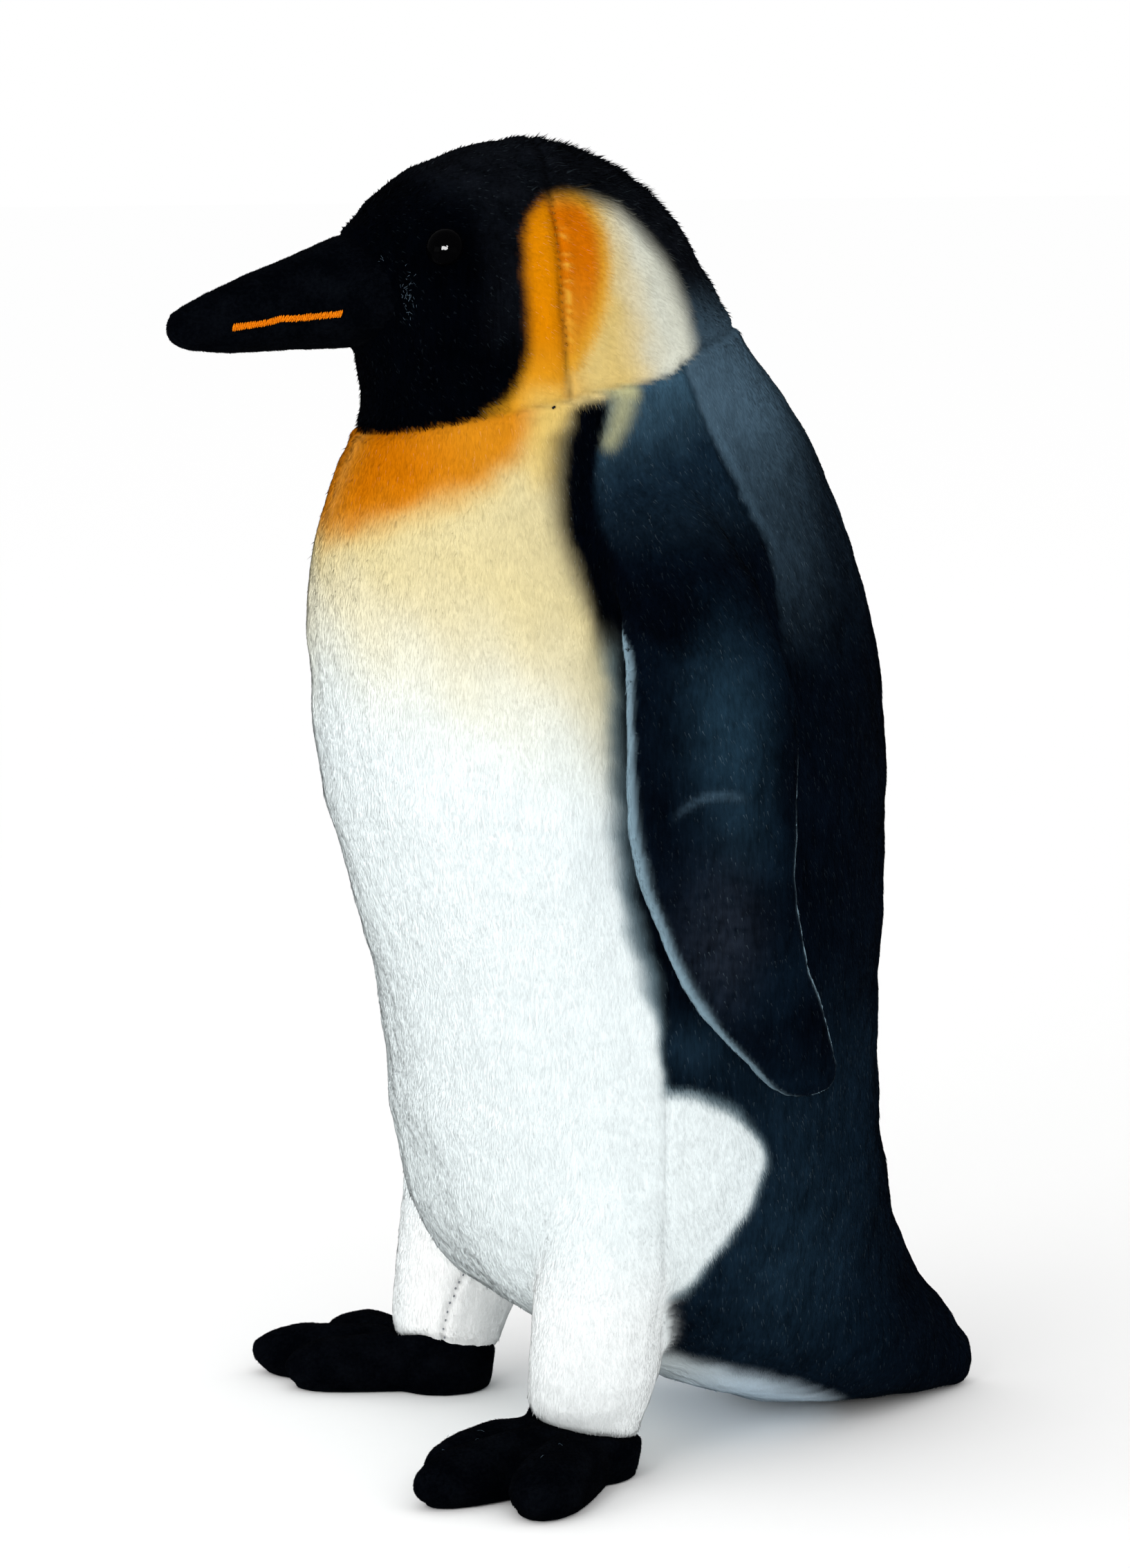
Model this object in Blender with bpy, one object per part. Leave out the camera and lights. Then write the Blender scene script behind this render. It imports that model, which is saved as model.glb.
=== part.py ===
"""A standing plush king penguin toy: head, bill, eyes, trunk, tail, flippers, legs and feet.

The toy faces -Y, its left side is +X and it stands on z = 0. It is drawn about its own middle
plane, and then moved so that the origin lies on the floor in the middle of its box. Lengths in
the tables are millimetres.
"""

import math
from collections import namedtuple

import bmesh
import bpy
from mathutils import Matrix, Vector

MM = 0.001

# driving dimensions, in metres
HEIGHT = 400 * MM
SEAM_GAP = 0.3 * MM  # between pieces that are sewn or glued together
EYE_DIAMETER = 12 * MM

# resolution of the lofts
BODY_SIDES = 36
BODY_STEPS = 2  # rings per station
LIMB_SIDES = 20
TOE_SIDES = 14

# the body's plan at each height: where it begins and ends along Y, its half width, and how
# pointed its front and back are (1 is an ellipse, less is blunter, more is sharper)
Station = namedtuple("Station", "z front back half front_point back_point")

RUMP = [
    Station(0, 70, 131, 13, 0.7, 0.8),
    Station(2, 57, 134.5, 21, 0.65, 1.0),
    Station(7, 41, 136.5, 32, 0.65, 1.25),
    Station(14, 23, 135.5, 44, 0.65, 1.4),
    Station(22, 7, 131.5, 54, 0.65, 1.45),
    Station(31, -10, 125, 61.5, 0.7, 1.4),
    Station(41, -27, 117.5, 67, 0.7, 1.35),
    Station(53, -40, 110, 71.5, 0.75, 1.25),
]
BARREL = [
    Station(70, -49.5, 103.8, 75.5, 0.8, 1.15),
    Station(100, -57, 97.5, 78, 0.9, 1.05),
    Station(145, -64, 94.5, 79, 1.0, 1.0),
    Station(200, -81, 97.3, 79, 1.0, 1.0),
    Station(235, -85.5, 96.2, 74.5, 1.0, 1.0),
    Station(262, -87.3, 90.8, 67, 1.0, 1.0),
    Station(285, -83.5, 83.5, 59, 1.0, 1.0),
    Station(303, -77.5, 75.5, 52.5, 1.0, 1.0),
]
HEAD = [
    Station(317, -70.5, 66, 49, 1.0, 1.0),
    Station(332, -72, 55, 47.5, 1.05, 1.0),
    Station(350, -76, 43.5, 46, 1.15, 1.0),
    Station(366, -78, 34.5, 42, 1.15, 1.0),
    Station(380, -68.5, 24, 34.5, 1.1, 1.0),
    Station(390, -55.5, 13.3, 25, 1.0, 1.0),
    Station(397.5, -39.5, -4, 12, 1.0, 1.0),
    Station(400, -25, -19, 1.5, 1.0, 1.0),
]

# seams, as a point (y, z) and the slope of the seam's plane, dz/dy
NECK_SEAM = (0, 331.2)
NECK_SLOPE = 0.25
TAIL_SEAM = (81, 34)
TAIL_SLOPE = 1.6

# the bill's cross-sections along its length, from its root inside the face to its tip
BillStation = namedtuple("BillStation", "y middle half_width half_height")
BILL = [
    BillStation(-54, 353, 14, 9),
    BillStation(-60, 353.8, 20.5, 13.5),
    BillStation(-69, 354.2, 20, 16.6),
    BillStation(-79, 354, 17, 17.2),
    BillStation(-92.7, 351.2, 13.8, 14.4),
    BillStation(-112.5, 347.2, 10, 11),
    BillStation(-124, 345, 7.6, 8),
    BillStation(-131, 344.4, 4.6, 4.8),
    BillStation(-132.8, 344.2, 1.2, 1.4),
]

EYE_CENTRE = Vector((30.5, -56.5, 368)) * MM
EYE_FACING = Vector((0.72, -0.62, 0.3))
EYE_DEPTH = 8 * MM

# the left flipper's cross-sections, from its head in the shoulder down to its tip
FlipperStation = namedtuple("FlipperStation", "z front back middle thick")
FLIPPER = [
    FlipperStation(300, -6, 8, 53, 8),
    FlipperStation(289, -19, 19, 60, 20),
    FlipperStation(272, -23, 28, 72, 22),
    FlipperStation(250, -20, 31.5, 82.5, 18.5),
    FlipperStation(225, -21.5, 32.5, 89, 16),
    FlipperStation(198, -20.5, 30.5, 91, 15),
    FlipperStation(175, -13.5, 31, 91, 14),
    FlipperStation(155, -4, 36, 90.5, 13),
    FlipperStation(138, 7.5, 42, 89.5, 12),
    FlipperStation(125, 20.5, 46, 88.5, 10.5),
    FlipperStation(118, 29, 43.5, 88, 7.5),
    FlipperStation(116, 34, 38, 88, 2),
]

# the left leg's tube, from below its hem up into the trunk
LegStation = namedtuple("LegStation", "z x y radius")
LEG = [
    LegStation(4, 56, -23, 17.6),
    LegStation(15, 56, -22.5, 18.4),
    LegStation(30, 56, -19.5, 21.2),
    LegStation(50, 56, -16.5, 22.4),
    LegStation(70, 55.5, -14.5, 22),
    LegStation(86, 54.5, -11, 20),
    LegStation(94, 54, -7, 12),
]
HEM = (-24, 15.2)  # (y, z) on the hem's plane
HEM_SLOPE = -0.21

# the foot: a heel under the leg and three toes, angles in degrees outward from straight ahead
HEEL = Vector((58.5, -23.5, 0)) * MM
HEEL_RADIUS = 18 * MM
HEEL_TOP = 30 * MM  # above the hem, which trims it
HEEL_PROFILE = [(-0.1, 0.8), (0.05, 0.9), (0.2, 0.97), (0.4, 1.0), (1.0, 1.0)]  # height, width
Toe = namedtuple("Toe", "name angle reach half_width height")
TOES = [
    Toe("inner", -5, 51, 11.0, 15.5),
    Toe("middle", 17, 65.5, 11.2, 16.5),
    Toe("outer", 52, 60, 12.8, 16),
]
INSTEP = 20 * MM  # how high the toes are where they leave the heel
TOE_STEPS = 9
TOE_TIP = 0.34  # the share of a toe's length that rounds off to its tip
TOE_TIP_LEAST = 0.06  # the flat left at the very tip, as a share of the toe's width
TOE_WAIST = 0.86  # how wide a toe is at its ends, as a share of its middle
TOE_AXIS = 0.42  # height of the toe's middle line, as a share of its own height
LEFT_FOOT_TURN = 0
RIGHT_FOOT_TURN = 23

COLOURS = {
    "plush_white": (0.86, 0.87, 0.84, 0.95, 0.0),
    "plush_black": (0.012, 0.012, 0.014, 0.95, 0.0),
    "plush_navy": (0.016, 0.023, 0.035, 0.95, 0.0),
    "velvet_black": (0.008, 0.009, 0.011, 1.0, 0.0),
    "eye_plastic": (0.004, 0.004, 0.005, 0.08, 0.0),
}


def clear_scene():
    for old in list(bpy.data.objects):
        bpy.data.objects.remove(old, do_unlink=True)


def material(name):
    """The named finish, made once and shared."""
    found = bpy.data.materials.get(name)
    if found:
        return found
    red, green, blue, roughness, metallic = COLOURS[name]
    made = bpy.data.materials.new(name)
    made.use_nodes = True
    shader = made.node_tree.nodes["Principled BSDF"]
    shader.inputs["Base Color"].default_value = (red, green, blue, 1)
    shader.inputs["Roughness"].default_value = roughness
    shader.inputs["Metallic"].default_value = metallic
    made.diffuse_color = (red, green, blue, 1)
    return made


def add_object(name, mesh, finish=None):
    """Put a mesh in the scene, shaded smooth with its hems and cut edges kept sharp."""
    for polygon in mesh.polygons:
        polygon.use_smooth = True
    mesh.set_sharp_from_angle(angle=math.radians(50))
    thing = bpy.data.objects.new(name, mesh)
    bpy.context.collection.objects.link(thing)
    if finish:
        mesh.materials.append(material(finish))
    return thing


def between(rows, steps):
    """Rows on a smooth curve through the given rows, with this many steps between neighbours."""
    kind = type(rows[0])
    last = len(rows) - 1
    found = []
    for index in range(last):
        before, start, end, after = (
            rows[max(index - 1, 0)], rows[index], rows[index + 1], rows[min(index + 2, last)]
        )
        for step in range(steps):
            t = step / steps
            values = [
                0.5 * (2 * b + (c - a) * t + (2 * a - 5 * b + 4 * c - d) * t**2
                       + (3 * b - a - 3 * c + d) * t**3)
                for a, b, c, d in zip(before, start, end, after)
            ]
            found.append(kind(*values))
    found.append(rows[last])
    return found


def loft(name, rings):
    """A closed mesh through rings of equally many points, with flat ends."""
    shape = bmesh.new()
    loops = [[shape.verts.new(point) for point in ring] for ring in rings]
    count = len(loops[0])
    for lower, upper in zip(loops, loops[1:]):
        for here in range(count):
            there = (here + 1) % count
            shape.faces.new((lower[here], lower[there], upper[there], upper[here]))
    shape.faces.new(loops[0])
    shape.faces.new(loops[-1])
    bmesh.ops.recalc_face_normals(shape, faces=shape.faces)
    mesh = bpy.data.meshes.new(name)
    shape.to_mesh(mesh)
    shape.free()
    return mesh


def plan_ring(station):
    """The body's outline at one height."""
    front_point = station.front_point
    back_point = station.back_point
    share = front_point / (front_point + back_point)
    widest = share ** (front_point / 2) * (1 - share) ** (back_point / 2)
    ring = []
    for index in range(BODY_SIDES):
        turn = 2 * math.pi * index / BODY_SIDES
        along = math.sin(turn / 2) ** 2
        width = (abs(math.sin(turn / 2)) ** front_point
                 * abs(math.cos(turn / 2)) ** back_point / widest)
        side = 1 if turn < math.pi else -1
        ring.append(Vector((
            side * station.half * width,
            station.front + (station.back - station.front) * along,
            station.z,
        )) * MM)
    return ring


def oval_ring(centre, across, up, sides):
    """An oval with the two given half axes."""
    ring = []
    for index in range(sides):
        turn = 2 * math.pi * index / sides
        ring.append(centre + across * math.cos(turn) + up * math.sin(turn))
    return ring


def keep_side(mesh, point, normal, name):
    """A copy of the mesh with all that lies beyond the plane cut away, and the cut closed."""
    shape = bmesh.new()
    shape.from_mesh(mesh)
    everything = shape.verts[:] + shape.edges[:] + shape.faces[:]
    cut = bmesh.ops.bisect_plane(
        shape, geom=everything, dist=1e-7, plane_co=point, plane_no=normal, clear_outer=True
    )
    rim = [item for item in cut["geom_cut"] if isinstance(item, bmesh.types.BMEdge)]
    bmesh.ops.edgenet_fill(shape, edges=rim)
    bmesh.ops.recalc_face_normals(shape, faces=shape.faces)
    kept = bpy.data.meshes.new(name)
    shape.to_mesh(kept)
    shape.free()
    return kept


def seam_plane(seam, slope):
    """A point on a seam's plane, and the plane's normal, which points up."""
    return Vector((0, seam[0], seam[1])) * MM, Vector((0, -slope, 1)).normalized()


def grown_cutter(name, mesh):
    """A hidden copy of a mesh, larger all round by the gap between sewn pieces."""
    cutter = bpy.data.objects.new(name, mesh.copy())
    bpy.context.collection.objects.link(cutter)
    swell = cutter.modifiers.new("swell", "DISPLACE")
    swell.mid_level = 0
    swell.strength = SEAM_GAP
    hide(cutter)
    return cutter


def hide(guide):
    guide.hide_render = True
    guide.display_type = "WIRE"


def boolean(thing, other, operation):
    step = thing.modifiers.new(other.name, "BOOLEAN")
    step.operation = operation
    step.solver = "EXACT"
    step.object = other


def make_body():
    """The stuffed body from tail to crown, parted at the neck seam and the tail's root."""
    rings = [plan_ring(station) for station in between(RUMP + BARREL + HEAD, BODY_STEPS)]
    whole = loft("whole", rings)
    neck_point, neck_up = seam_plane(NECK_SEAM, NECK_SLOPE)
    tail_point, tail_up = seam_plane(TAIL_SEAM, TAIL_SLOPE)
    half_gap = SEAM_GAP / 2

    head = keep_side(whole, neck_point + neck_up * half_gap, -neck_up, "head")
    below = keep_side(whole, neck_point - neck_up * half_gap, neck_up, "below")
    trunk = keep_side(below, tail_point + tail_up * half_gap, -tail_up, "trunk")
    tail = keep_side(below, tail_point - tail_up * half_gap, tail_up, "tail")
    add_object("trunk", trunk, "plush_white")
    add_object("tail", tail, "plush_navy")
    return add_object("head", head, "plush_black"), grown_cutter("body_cutter", whole)


def make_bill(head):
    """The stuffed bill, whose wide root is let into the face."""
    rings = []
    for station in between(BILL, BODY_STEPS):
        rings.append(oval_ring(
            Vector((0, station.y, station.middle)) * MM,
            Vector((station.half_width, 0, 0)) * MM,
            Vector((0, 0, station.half_height)) * MM,
            LIMB_SIDES,
        ))
    bill = add_object("bill", loft("bill", rings), "velvet_black")
    boolean(head, grown_cutter("bill_cutter", bill.data), "DIFFERENCE")


def make_eye(side, sign, head):
    """A domed safety eye, set into the face."""
    shape = bmesh.new()
    bmesh.ops.create_uvsphere(shape, u_segments=16, v_segments=8, radius=EYE_DIAMETER / 2)
    flatten = Matrix.Scale(EYE_DEPTH / EYE_DIAMETER, 4, Vector((0, 0, 1)))
    facing = Vector((sign * EYE_FACING.x, EYE_FACING.y, EYE_FACING.z))
    turn = facing.to_track_quat("Z", "Y").to_matrix().to_4x4()
    bmesh.ops.transform(shape, matrix=turn @ flatten, verts=shape.verts)
    centre = Vector((sign * EYE_CENTRE.x, EYE_CENTRE.y, EYE_CENTRE.z))
    bmesh.ops.translate(shape, vec=centre, verts=shape.verts)
    mesh = bpy.data.meshes.new("eye_" + side)
    shape.to_mesh(mesh)
    shape.free()
    eye = add_object("eye_" + side, mesh, "eye_plastic")
    boolean(head, grown_cutter("eye_cutter_" + side, eye.data), "DIFFERENCE")


def make_flipper(side, sign, body_cutter):
    """A flat stuffed flipper that lies along the trunk, sewn on at the shoulder."""
    rings = []
    for station in between(FLIPPER, BODY_STEPS):
        middle = Vector((sign * station.middle, (station.front + station.back) / 2, station.z))
        rings.append(oval_ring(
            middle * MM,
            Vector((station.thick / 2, 0, 0)) * MM,
            Vector((0, (station.back - station.front) / 2, 0)) * MM,
            LIMB_SIDES,
        ))
    flipper = add_object("flipper_" + side, loft("flipper_" + side, rings), "plush_navy")
    boolean(flipper, body_cutter, "DIFFERENCE")


def make_leg(side, sign, body_cutter):
    """A plush tube from its hem on the foot up to the trunk."""
    rings = []
    for station in between(LEG, BODY_STEPS):
        rings.append(oval_ring(
            Vector((sign * station.x, station.y, station.z)) * MM,
            Vector((station.radius, 0, 0)) * MM,
            Vector((0, station.radius, 0)) * MM,
            LIMB_SIDES,
        ))
    point, up = seam_plane(HEM, HEM_SLOPE)
    tube = keep_side(loft("tube", rings), point + up * SEAM_GAP / 2, -up, "leg_" + side)
    leg = add_object("leg_" + side, tube, "plush_white")
    boolean(leg, body_cutter, "DIFFERENCE")


def toe_mesh(toe, sign, turn):
    """One stuffed toe, from the heel out to its round tip, reaching a little below the floor."""
    angle = math.radians(toe.angle + turn)
    ahead = Vector((sign * math.sin(angle), -math.cos(angle), 0))
    across = Vector((ahead.y, -ahead.x, 0))
    up = Vector((0, 0, 1))
    start = Vector((sign * HEEL.x, HEEL.y, 0))
    middle = TOE_AXIS * toe.height * MM
    rings = []
    for index in range(TOE_STEPS + 1):
        along = 1 - (1 - index / TOE_STEPS) ** 1.6  # rings crowd towards the tip
        tip = max(0.0, (along - (1 - TOE_TIP)) / TOE_TIP)
        roundness = max(math.sqrt(max(0.0, 1 - tip**2)), TOE_TIP_LEAST)
        height = INSTEP + (toe.height * MM - INSTEP) * along
        swell = TOE_WAIST + (1 - TOE_WAIST) * math.sin(math.pi * along)
        rings.append(oval_ring(
            start + ahead * toe.reach * MM * along + up * middle,
            across * toe.half_width * MM * swell * roundness,
            up * (height - middle) * roundness,
            TOE_SIDES,
        ))
    return loft("toe_" + toe.name, rings)


def make_foot(side, sign, turn):
    """A velvet foot: three toes and a heel joined into one, flat on the floor under the hem."""
    rings = []
    for height, width in HEEL_PROFILE:
        rings.append(oval_ring(
            Vector((sign * HEEL.x, HEEL.y, height * HEEL_TOP)),
            Vector((width * HEEL_RADIUS, 0, 0)),
            Vector((0, width * HEEL_RADIUS, 0)),
            LIMB_SIDES,
        ))
    foot = add_object("foot_" + side, loft("foot_" + side, rings), "velvet_black")
    for toe in TOES:
        lobe = add_object("toe_cutter_" + toe.name + "_" + side, toe_mesh(toe, sign, turn))
        hide(lobe)
        boolean(foot, lobe, "UNION")
    boolean(foot, floor_cutter(), "DIFFERENCE")
    boolean(foot, hem_cutter(), "DIFFERENCE")


def slab(name, lowest, highest):
    """A wide hidden block between two heights, for trimming a foot."""
    found = bpy.data.objects.get(name)
    if found:
        return found
    reach = HEIGHT / 2
    corners = [(-reach, -reach), (reach, -reach), (reach, reach), (-reach, reach)]
    rings = [[Vector((x, y, z(y))) for x, y in corners] for z in (lowest, highest)]
    block = bpy.data.objects.new(name, loft(name, rings))
    bpy.context.collection.objects.link(block)
    hide(block)
    return block


def floor_cutter():
    return slab("floor_cutter", lambda y: -HEIGHT / 4, lambda y: 0.0)


def hem_cutter():
    point, up = seam_plane(HEM, HEM_SLOPE)
    start = point.z - SEAM_GAP / 2

    def hem(y):
        return start + (y - point.y) * HEM_SLOPE

    return slab("hem_cutter", hem, lambda y: hem(y) + HEIGHT / 4)


def centre_on_origin():
    """Hang every piece on one empty, placed so that the toy's box stands centred on the origin."""
    root = bpy.data.objects.new("toy", None)
    bpy.context.collection.objects.link(root)
    bpy.context.view_layer.update()
    graph = bpy.context.evaluated_depsgraph_get()
    corners = []
    for piece in bpy.data.objects:
        if piece.type == "MESH" and not piece.hide_render:
            corners += [Vector(corner) for corner in piece.evaluated_get(graph).bound_box]
    for piece in bpy.data.objects:
        if piece.type == "MESH":
            piece.parent = root
    for axis in (0, 1):
        values = [corner[axis] for corner in corners]
        root.location[axis] = -(min(values) + max(values)) / 2


def main():
    clear_scene()
    head, body_cutter = make_body()
    make_bill(head)
    for side, sign, turn in (("left", 1, LEFT_FOOT_TURN), ("right", -1, RIGHT_FOOT_TURN)):
        make_eye(side, sign, head)
        make_flipper(side, sign, body_cutter)
        make_leg(side, sign, body_cutter)
        make_foot(side, sign, turn)
    centre_on_origin()


main()
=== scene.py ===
import math
import time

import bmesh
import bpy
import numpy as np
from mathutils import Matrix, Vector
from mathutils.bvhtree import BVHTree
from mathutils.kdtree import KDTree

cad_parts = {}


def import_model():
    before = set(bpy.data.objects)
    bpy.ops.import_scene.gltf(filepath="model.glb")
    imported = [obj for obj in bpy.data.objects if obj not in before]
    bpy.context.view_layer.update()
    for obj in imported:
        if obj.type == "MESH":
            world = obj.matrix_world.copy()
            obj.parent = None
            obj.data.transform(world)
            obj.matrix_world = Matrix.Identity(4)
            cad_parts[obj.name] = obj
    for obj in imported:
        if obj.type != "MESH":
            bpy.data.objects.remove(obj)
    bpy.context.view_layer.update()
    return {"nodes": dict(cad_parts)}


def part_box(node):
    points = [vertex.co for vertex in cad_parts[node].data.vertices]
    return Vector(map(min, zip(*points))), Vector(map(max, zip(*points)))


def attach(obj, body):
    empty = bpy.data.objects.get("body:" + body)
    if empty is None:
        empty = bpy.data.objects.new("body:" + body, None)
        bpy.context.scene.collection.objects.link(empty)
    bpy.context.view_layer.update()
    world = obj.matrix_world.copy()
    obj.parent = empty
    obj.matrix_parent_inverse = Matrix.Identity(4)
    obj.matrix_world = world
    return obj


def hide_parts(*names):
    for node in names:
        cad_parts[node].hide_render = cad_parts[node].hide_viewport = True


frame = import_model()
startedAt = time.time()
mm = 0.001
billToMiddle = 0.1328
# the toy's own middle plane, under the middle of its trunk
middle = Vector(((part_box("trunk")[0][0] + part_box("trunk")[1][0]) / 2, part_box("bill")[0][1] + billToMiddle, 0.0))


def report(words):
    print("%6.1f s  %s" % (time.time() - startedAt, words), flush=True)


# node boards

class Wire:
    # one output socket, so that sums on values can be written as sums
    def __init__(self, board, socket):
        self.board, self.socket = board, socket

    def sum(self, operation, other, swapped=False):
        return self.board.maths(operation, *((other, self) if swapped else (self, other)))

    def __add__(self, other): return self.sum("ADD", other)
    def __radd__(self, other): return self.sum("ADD", other, True)
    def __sub__(self, other): return self.sum("SUBTRACT", other)
    def __rsub__(self, other): return self.sum("SUBTRACT", other, True)
    def __mul__(self, other): return self.sum("MULTIPLY", other)
    def __rmul__(self, other): return self.sum("MULTIPLY", other, True)


class Board:
    # a node tree and the one way that nodes are put on it
    def __init__(self, tree):
        self.tree = tree

    def node(self, kind, settings=None, sockets=None, out=0):
        made = self.tree.nodes.new(kind)
        for name, value in (settings or {}).items():
            setattr(made, name, value)
        for name, value in (sockets or {}).items():
            if isinstance(value, Wire):
                self.tree.links.new(value.socket, made.inputs[name])
            else:
                made.inputs[name].default_value = value
        return Wire(self, made.outputs[out]) if len(made.outputs) else made

    def maths(self, operation, *values):
        return self.node("ShaderNodeMath", {"operation": operation}, dict(enumerate(values)))

    def vector(self, operation, *values, out=0):
        names = {"SCALE": (0, 3)}.get(operation, (0, 1, 2))
        return self.node("ShaderNodeVectorMath", {"operation": operation}, dict(zip(names, values)), out)

    def mixColour(self, amount, first, second):
        settings = {"data_type": "RGBA", "blend_type": "MIX", "clamp_factor": True}
        return self.node("ShaderNodeMix", settings, {0: amount, 6: (*first, 1), 7: (*second, 1)}, out=2)

    def spread(self, value, low, high, newLow, newHigh):
        return self.node("ShaderNodeMapRange", None, {0: value, 1: low, 2: high, 3: newLow, 4: newHigh})

    def noise(self, place, stretch, detail=2.0, rough=0.5):
        mapped = self.node("ShaderNodeMapping", None, {"Vector": place, "Scale": stretch})
        sockets = {"Vector": mapped, "Scale": 1.0, "Detail": detail, "Roughness": rough}
        return self.node("ShaderNodeTexNoise", None, sockets)

    def bump(self, strength, distance, height):
        return self.node("ShaderNodeBump", None, {"Strength": strength, "Distance": distance, "Height": height})

    def ownPlace(self):  # object coordinates
        return self.node("ShaderNodeTexCoord", out=3)

    def attribute(self, name, out=2):
        return self.node("ShaderNodeAttribute", {"attribute_name": name}, out=out)

    def parts(self, vector):
        return [self.node("ShaderNodeSeparateXYZ", None, {0: vector}, out=i) for i in range(3)]


def newMaterial(name, shader):
    made = bpy.data.materials.new(name)
    made.use_nodes = True
    made.node_tree.nodes.clear()
    board = Board(made.node_tree)
    surface = board.node("ShaderNodeBsdfPrincipled", None, shader(board))
    board.node("ShaderNodeOutputMaterial", None, {"Surface": surface})
    return made


# plush and velvet finishes

plushFinish = {
    "patterns": {  # repeats per metre along each axis, detail, roughness, depth, and extra depth on dark dyes
        "streak": ((950.0, 950.0, 130.0), 3.0, 0.6, 0.10, 1.2),
        "mottle": ((210.0, 210.0, 126.0), 2.0, 0.55, 0.12, 1.15),
        "cloud": ((38.0, 38.0, 38.0), 1.0, 0.5, 0.10, 0.9),
    },
    "darkDye": (0.004, 0.12), "backingShade": 0.97, "rough": 0.93,
    "bump": (0.55, 0.0006), "tuftShade": (0.95, 1.05), "rootToTip": (0.97, 1.02),
    "normalFromSkin": 0.88, "fleck": (0.0215, 0.0290, 0.0340), "fleckShare": 0.895,
    "specular": 0.0, "sheen": 0.003, "sheenRough": 0.5,
}


def cloth(finish, colour, rough, normal):  # the sockets that plush and velvet share
    return {"Base Color": colour, "Roughness": rough, "Normal": normal, "Specular IOR Level": finish["specular"],
            "Sheen Weight": finish["sheen"], "Sheen Roughness": finish["sheenRough"]}


def tuftNormal(board, share):  # a tuft is lit mostly as the cloth at its root is
    facing = board.node("ShaderNodeNewGeometry", out=1)
    fromRoot = board.vector("SCALE", board.attribute("rootNormal", 1), share)
    return board.vector("NORMALIZE", board.vector("ADD", fromRoot, board.vector("SCALE", facing, 1.0 - share)))


def pileTone(board, dye):
    # soft mottling of the pile: fine lines down the coat, small patches, and broad clouds
    place = board.ownPlace()
    dark = board.spread(board.node("ShaderNodeRGBToBW", None, {0: dye}), *plushFinish["darkDye"], 1.0, 0.0)
    tone, found = 1.0, {}
    for name, (stretch, detail, rough, depth, onDark) in plushFinish["patterns"].items():
        found[name] = board.noise(place, stretch, detail, rough)
        tone = tone + (found[name] - 0.5) * (dark * onDark + depth)
    return tone, found["streak"], found["mottle"]


def plushSkin(board):
    dye = board.attribute("dye", 0)
    tone, streak, mottle = pileTone(board, dye)
    # painted shade: the backing under the tufts is a little darker
    colour = board.vector("SCALE", dye, tone * plushFinish["backingShade"])
    bump = board.bump(*plushFinish["bump"], streak * 0.6 + mottle * 0.4)
    return cloth(plushFinish, colour, board.spread(mottle, 0.3, 0.7, 0.88, 0.98), bump)


def plushTuft(board):
    dye = board.attribute("dye", 0)
    tone = pileTone(board, dye)[0]
    single = board.spread(board.attribute("shade"), 0.0, 1.0, *plushFinish["tuftShade"])
    # painted shade: each tuft is a little darker at its root, deep in the pile
    depth = board.spread(board.attribute("along"), 0.0, 0.8, *plushFinish["rootToTip"])
    lightness = board.node("ShaderNodeRGBToBW", None, {0: dye}) * 90.0
    # a few hairs catch the light, least on the blackest cloth
    fleck = (board.spread(board.attribute("shade"), plushFinish["fleckShare"], 1.0, 0.0, 1.1)
             * board.spread(lightness, 0.0, 1.0, 0.10, 1.0))
    colour = board.vector("ADD", board.vector("SCALE", dye, tone * single * depth),
                          board.vector("SCALE", plushFinish["fleck"], fleck))
    return cloth(plushFinish, colour, plushFinish["rough"], tuftNormal(board, plushFinish["normalFromSkin"]))


velvetFinish = {
    "dark": (0.0005, 0.0008, 0.0016), "worn": (0.0034, 0.0044, 0.0062),
    "nap": (900.0, 900.0, 900.0), "patch": (95.0, 95.0, 133.0), "bump": (0.6, 0.0004),
    "normalFromSkin": 0.6, "rough": 0.9, "tuftShade": (0.7, 1.4), "specular": 0.0, "sheen": 0.003, "sheenRough": 0.4,
}


def velvetColour(board):
    place = board.ownPlace()
    nap = board.noise(place, velvetFinish["nap"], 3.0, 0.6)
    patch = board.noise(place, velvetFinish["patch"], 2.0, 0.5)
    worn = board.spread(nap * 0.5 + patch * 0.5, 0.42, 0.66, 0.0, 0.55)
    return board.mixColour(worn, velvetFinish["dark"], velvetFinish["worn"]), nap, patch


def velvetSkin(board):
    colour, nap, patch = velvetColour(board)
    bump = board.bump(*velvetFinish["bump"], nap * 0.6 + patch * 0.4)
    return cloth(velvetFinish, colour, board.spread(patch, 0.3, 0.7, 0.82, 0.96), bump)


def velvetNap(board):
    single = board.spread(board.attribute("shade"), 0.0, 1.0, *velvetFinish["tuftShade"])
    colour = board.vector("SCALE", velvetColour(board)[0], single)
    return cloth(velvetFinish, colour, velvetFinish["rough"], tuftNormal(board, velvetFinish["normalFromSkin"]))


threadFinish = {  # thread: (light, dark, roughness)
    "orangeMouthThread": ((0.80, 0.215, 0.004), (0.50, 0.11, 0.002), 0.6),
    "goldSeamThread": ((0.36, 0.15, 0.010), (0.16, 0.055, 0.003), 0.6),
    "darkSeamThread": ((0.010, 0.012, 0.016), (0.003, 0.003, 0.005), 0.6),
    "greySeamThread": ((0.30, 0.31, 0.33), (0.12, 0.13, 0.15), 0.6),
    "whiteLint": ((0.16, 0.22, 0.28), (0.05, 0.08, 0.11), 0.8),
}
threadTwist = {"repeats": (2600.0, 2600.0, 2600.0), "bump": (0.4, 0.00015)}


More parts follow.
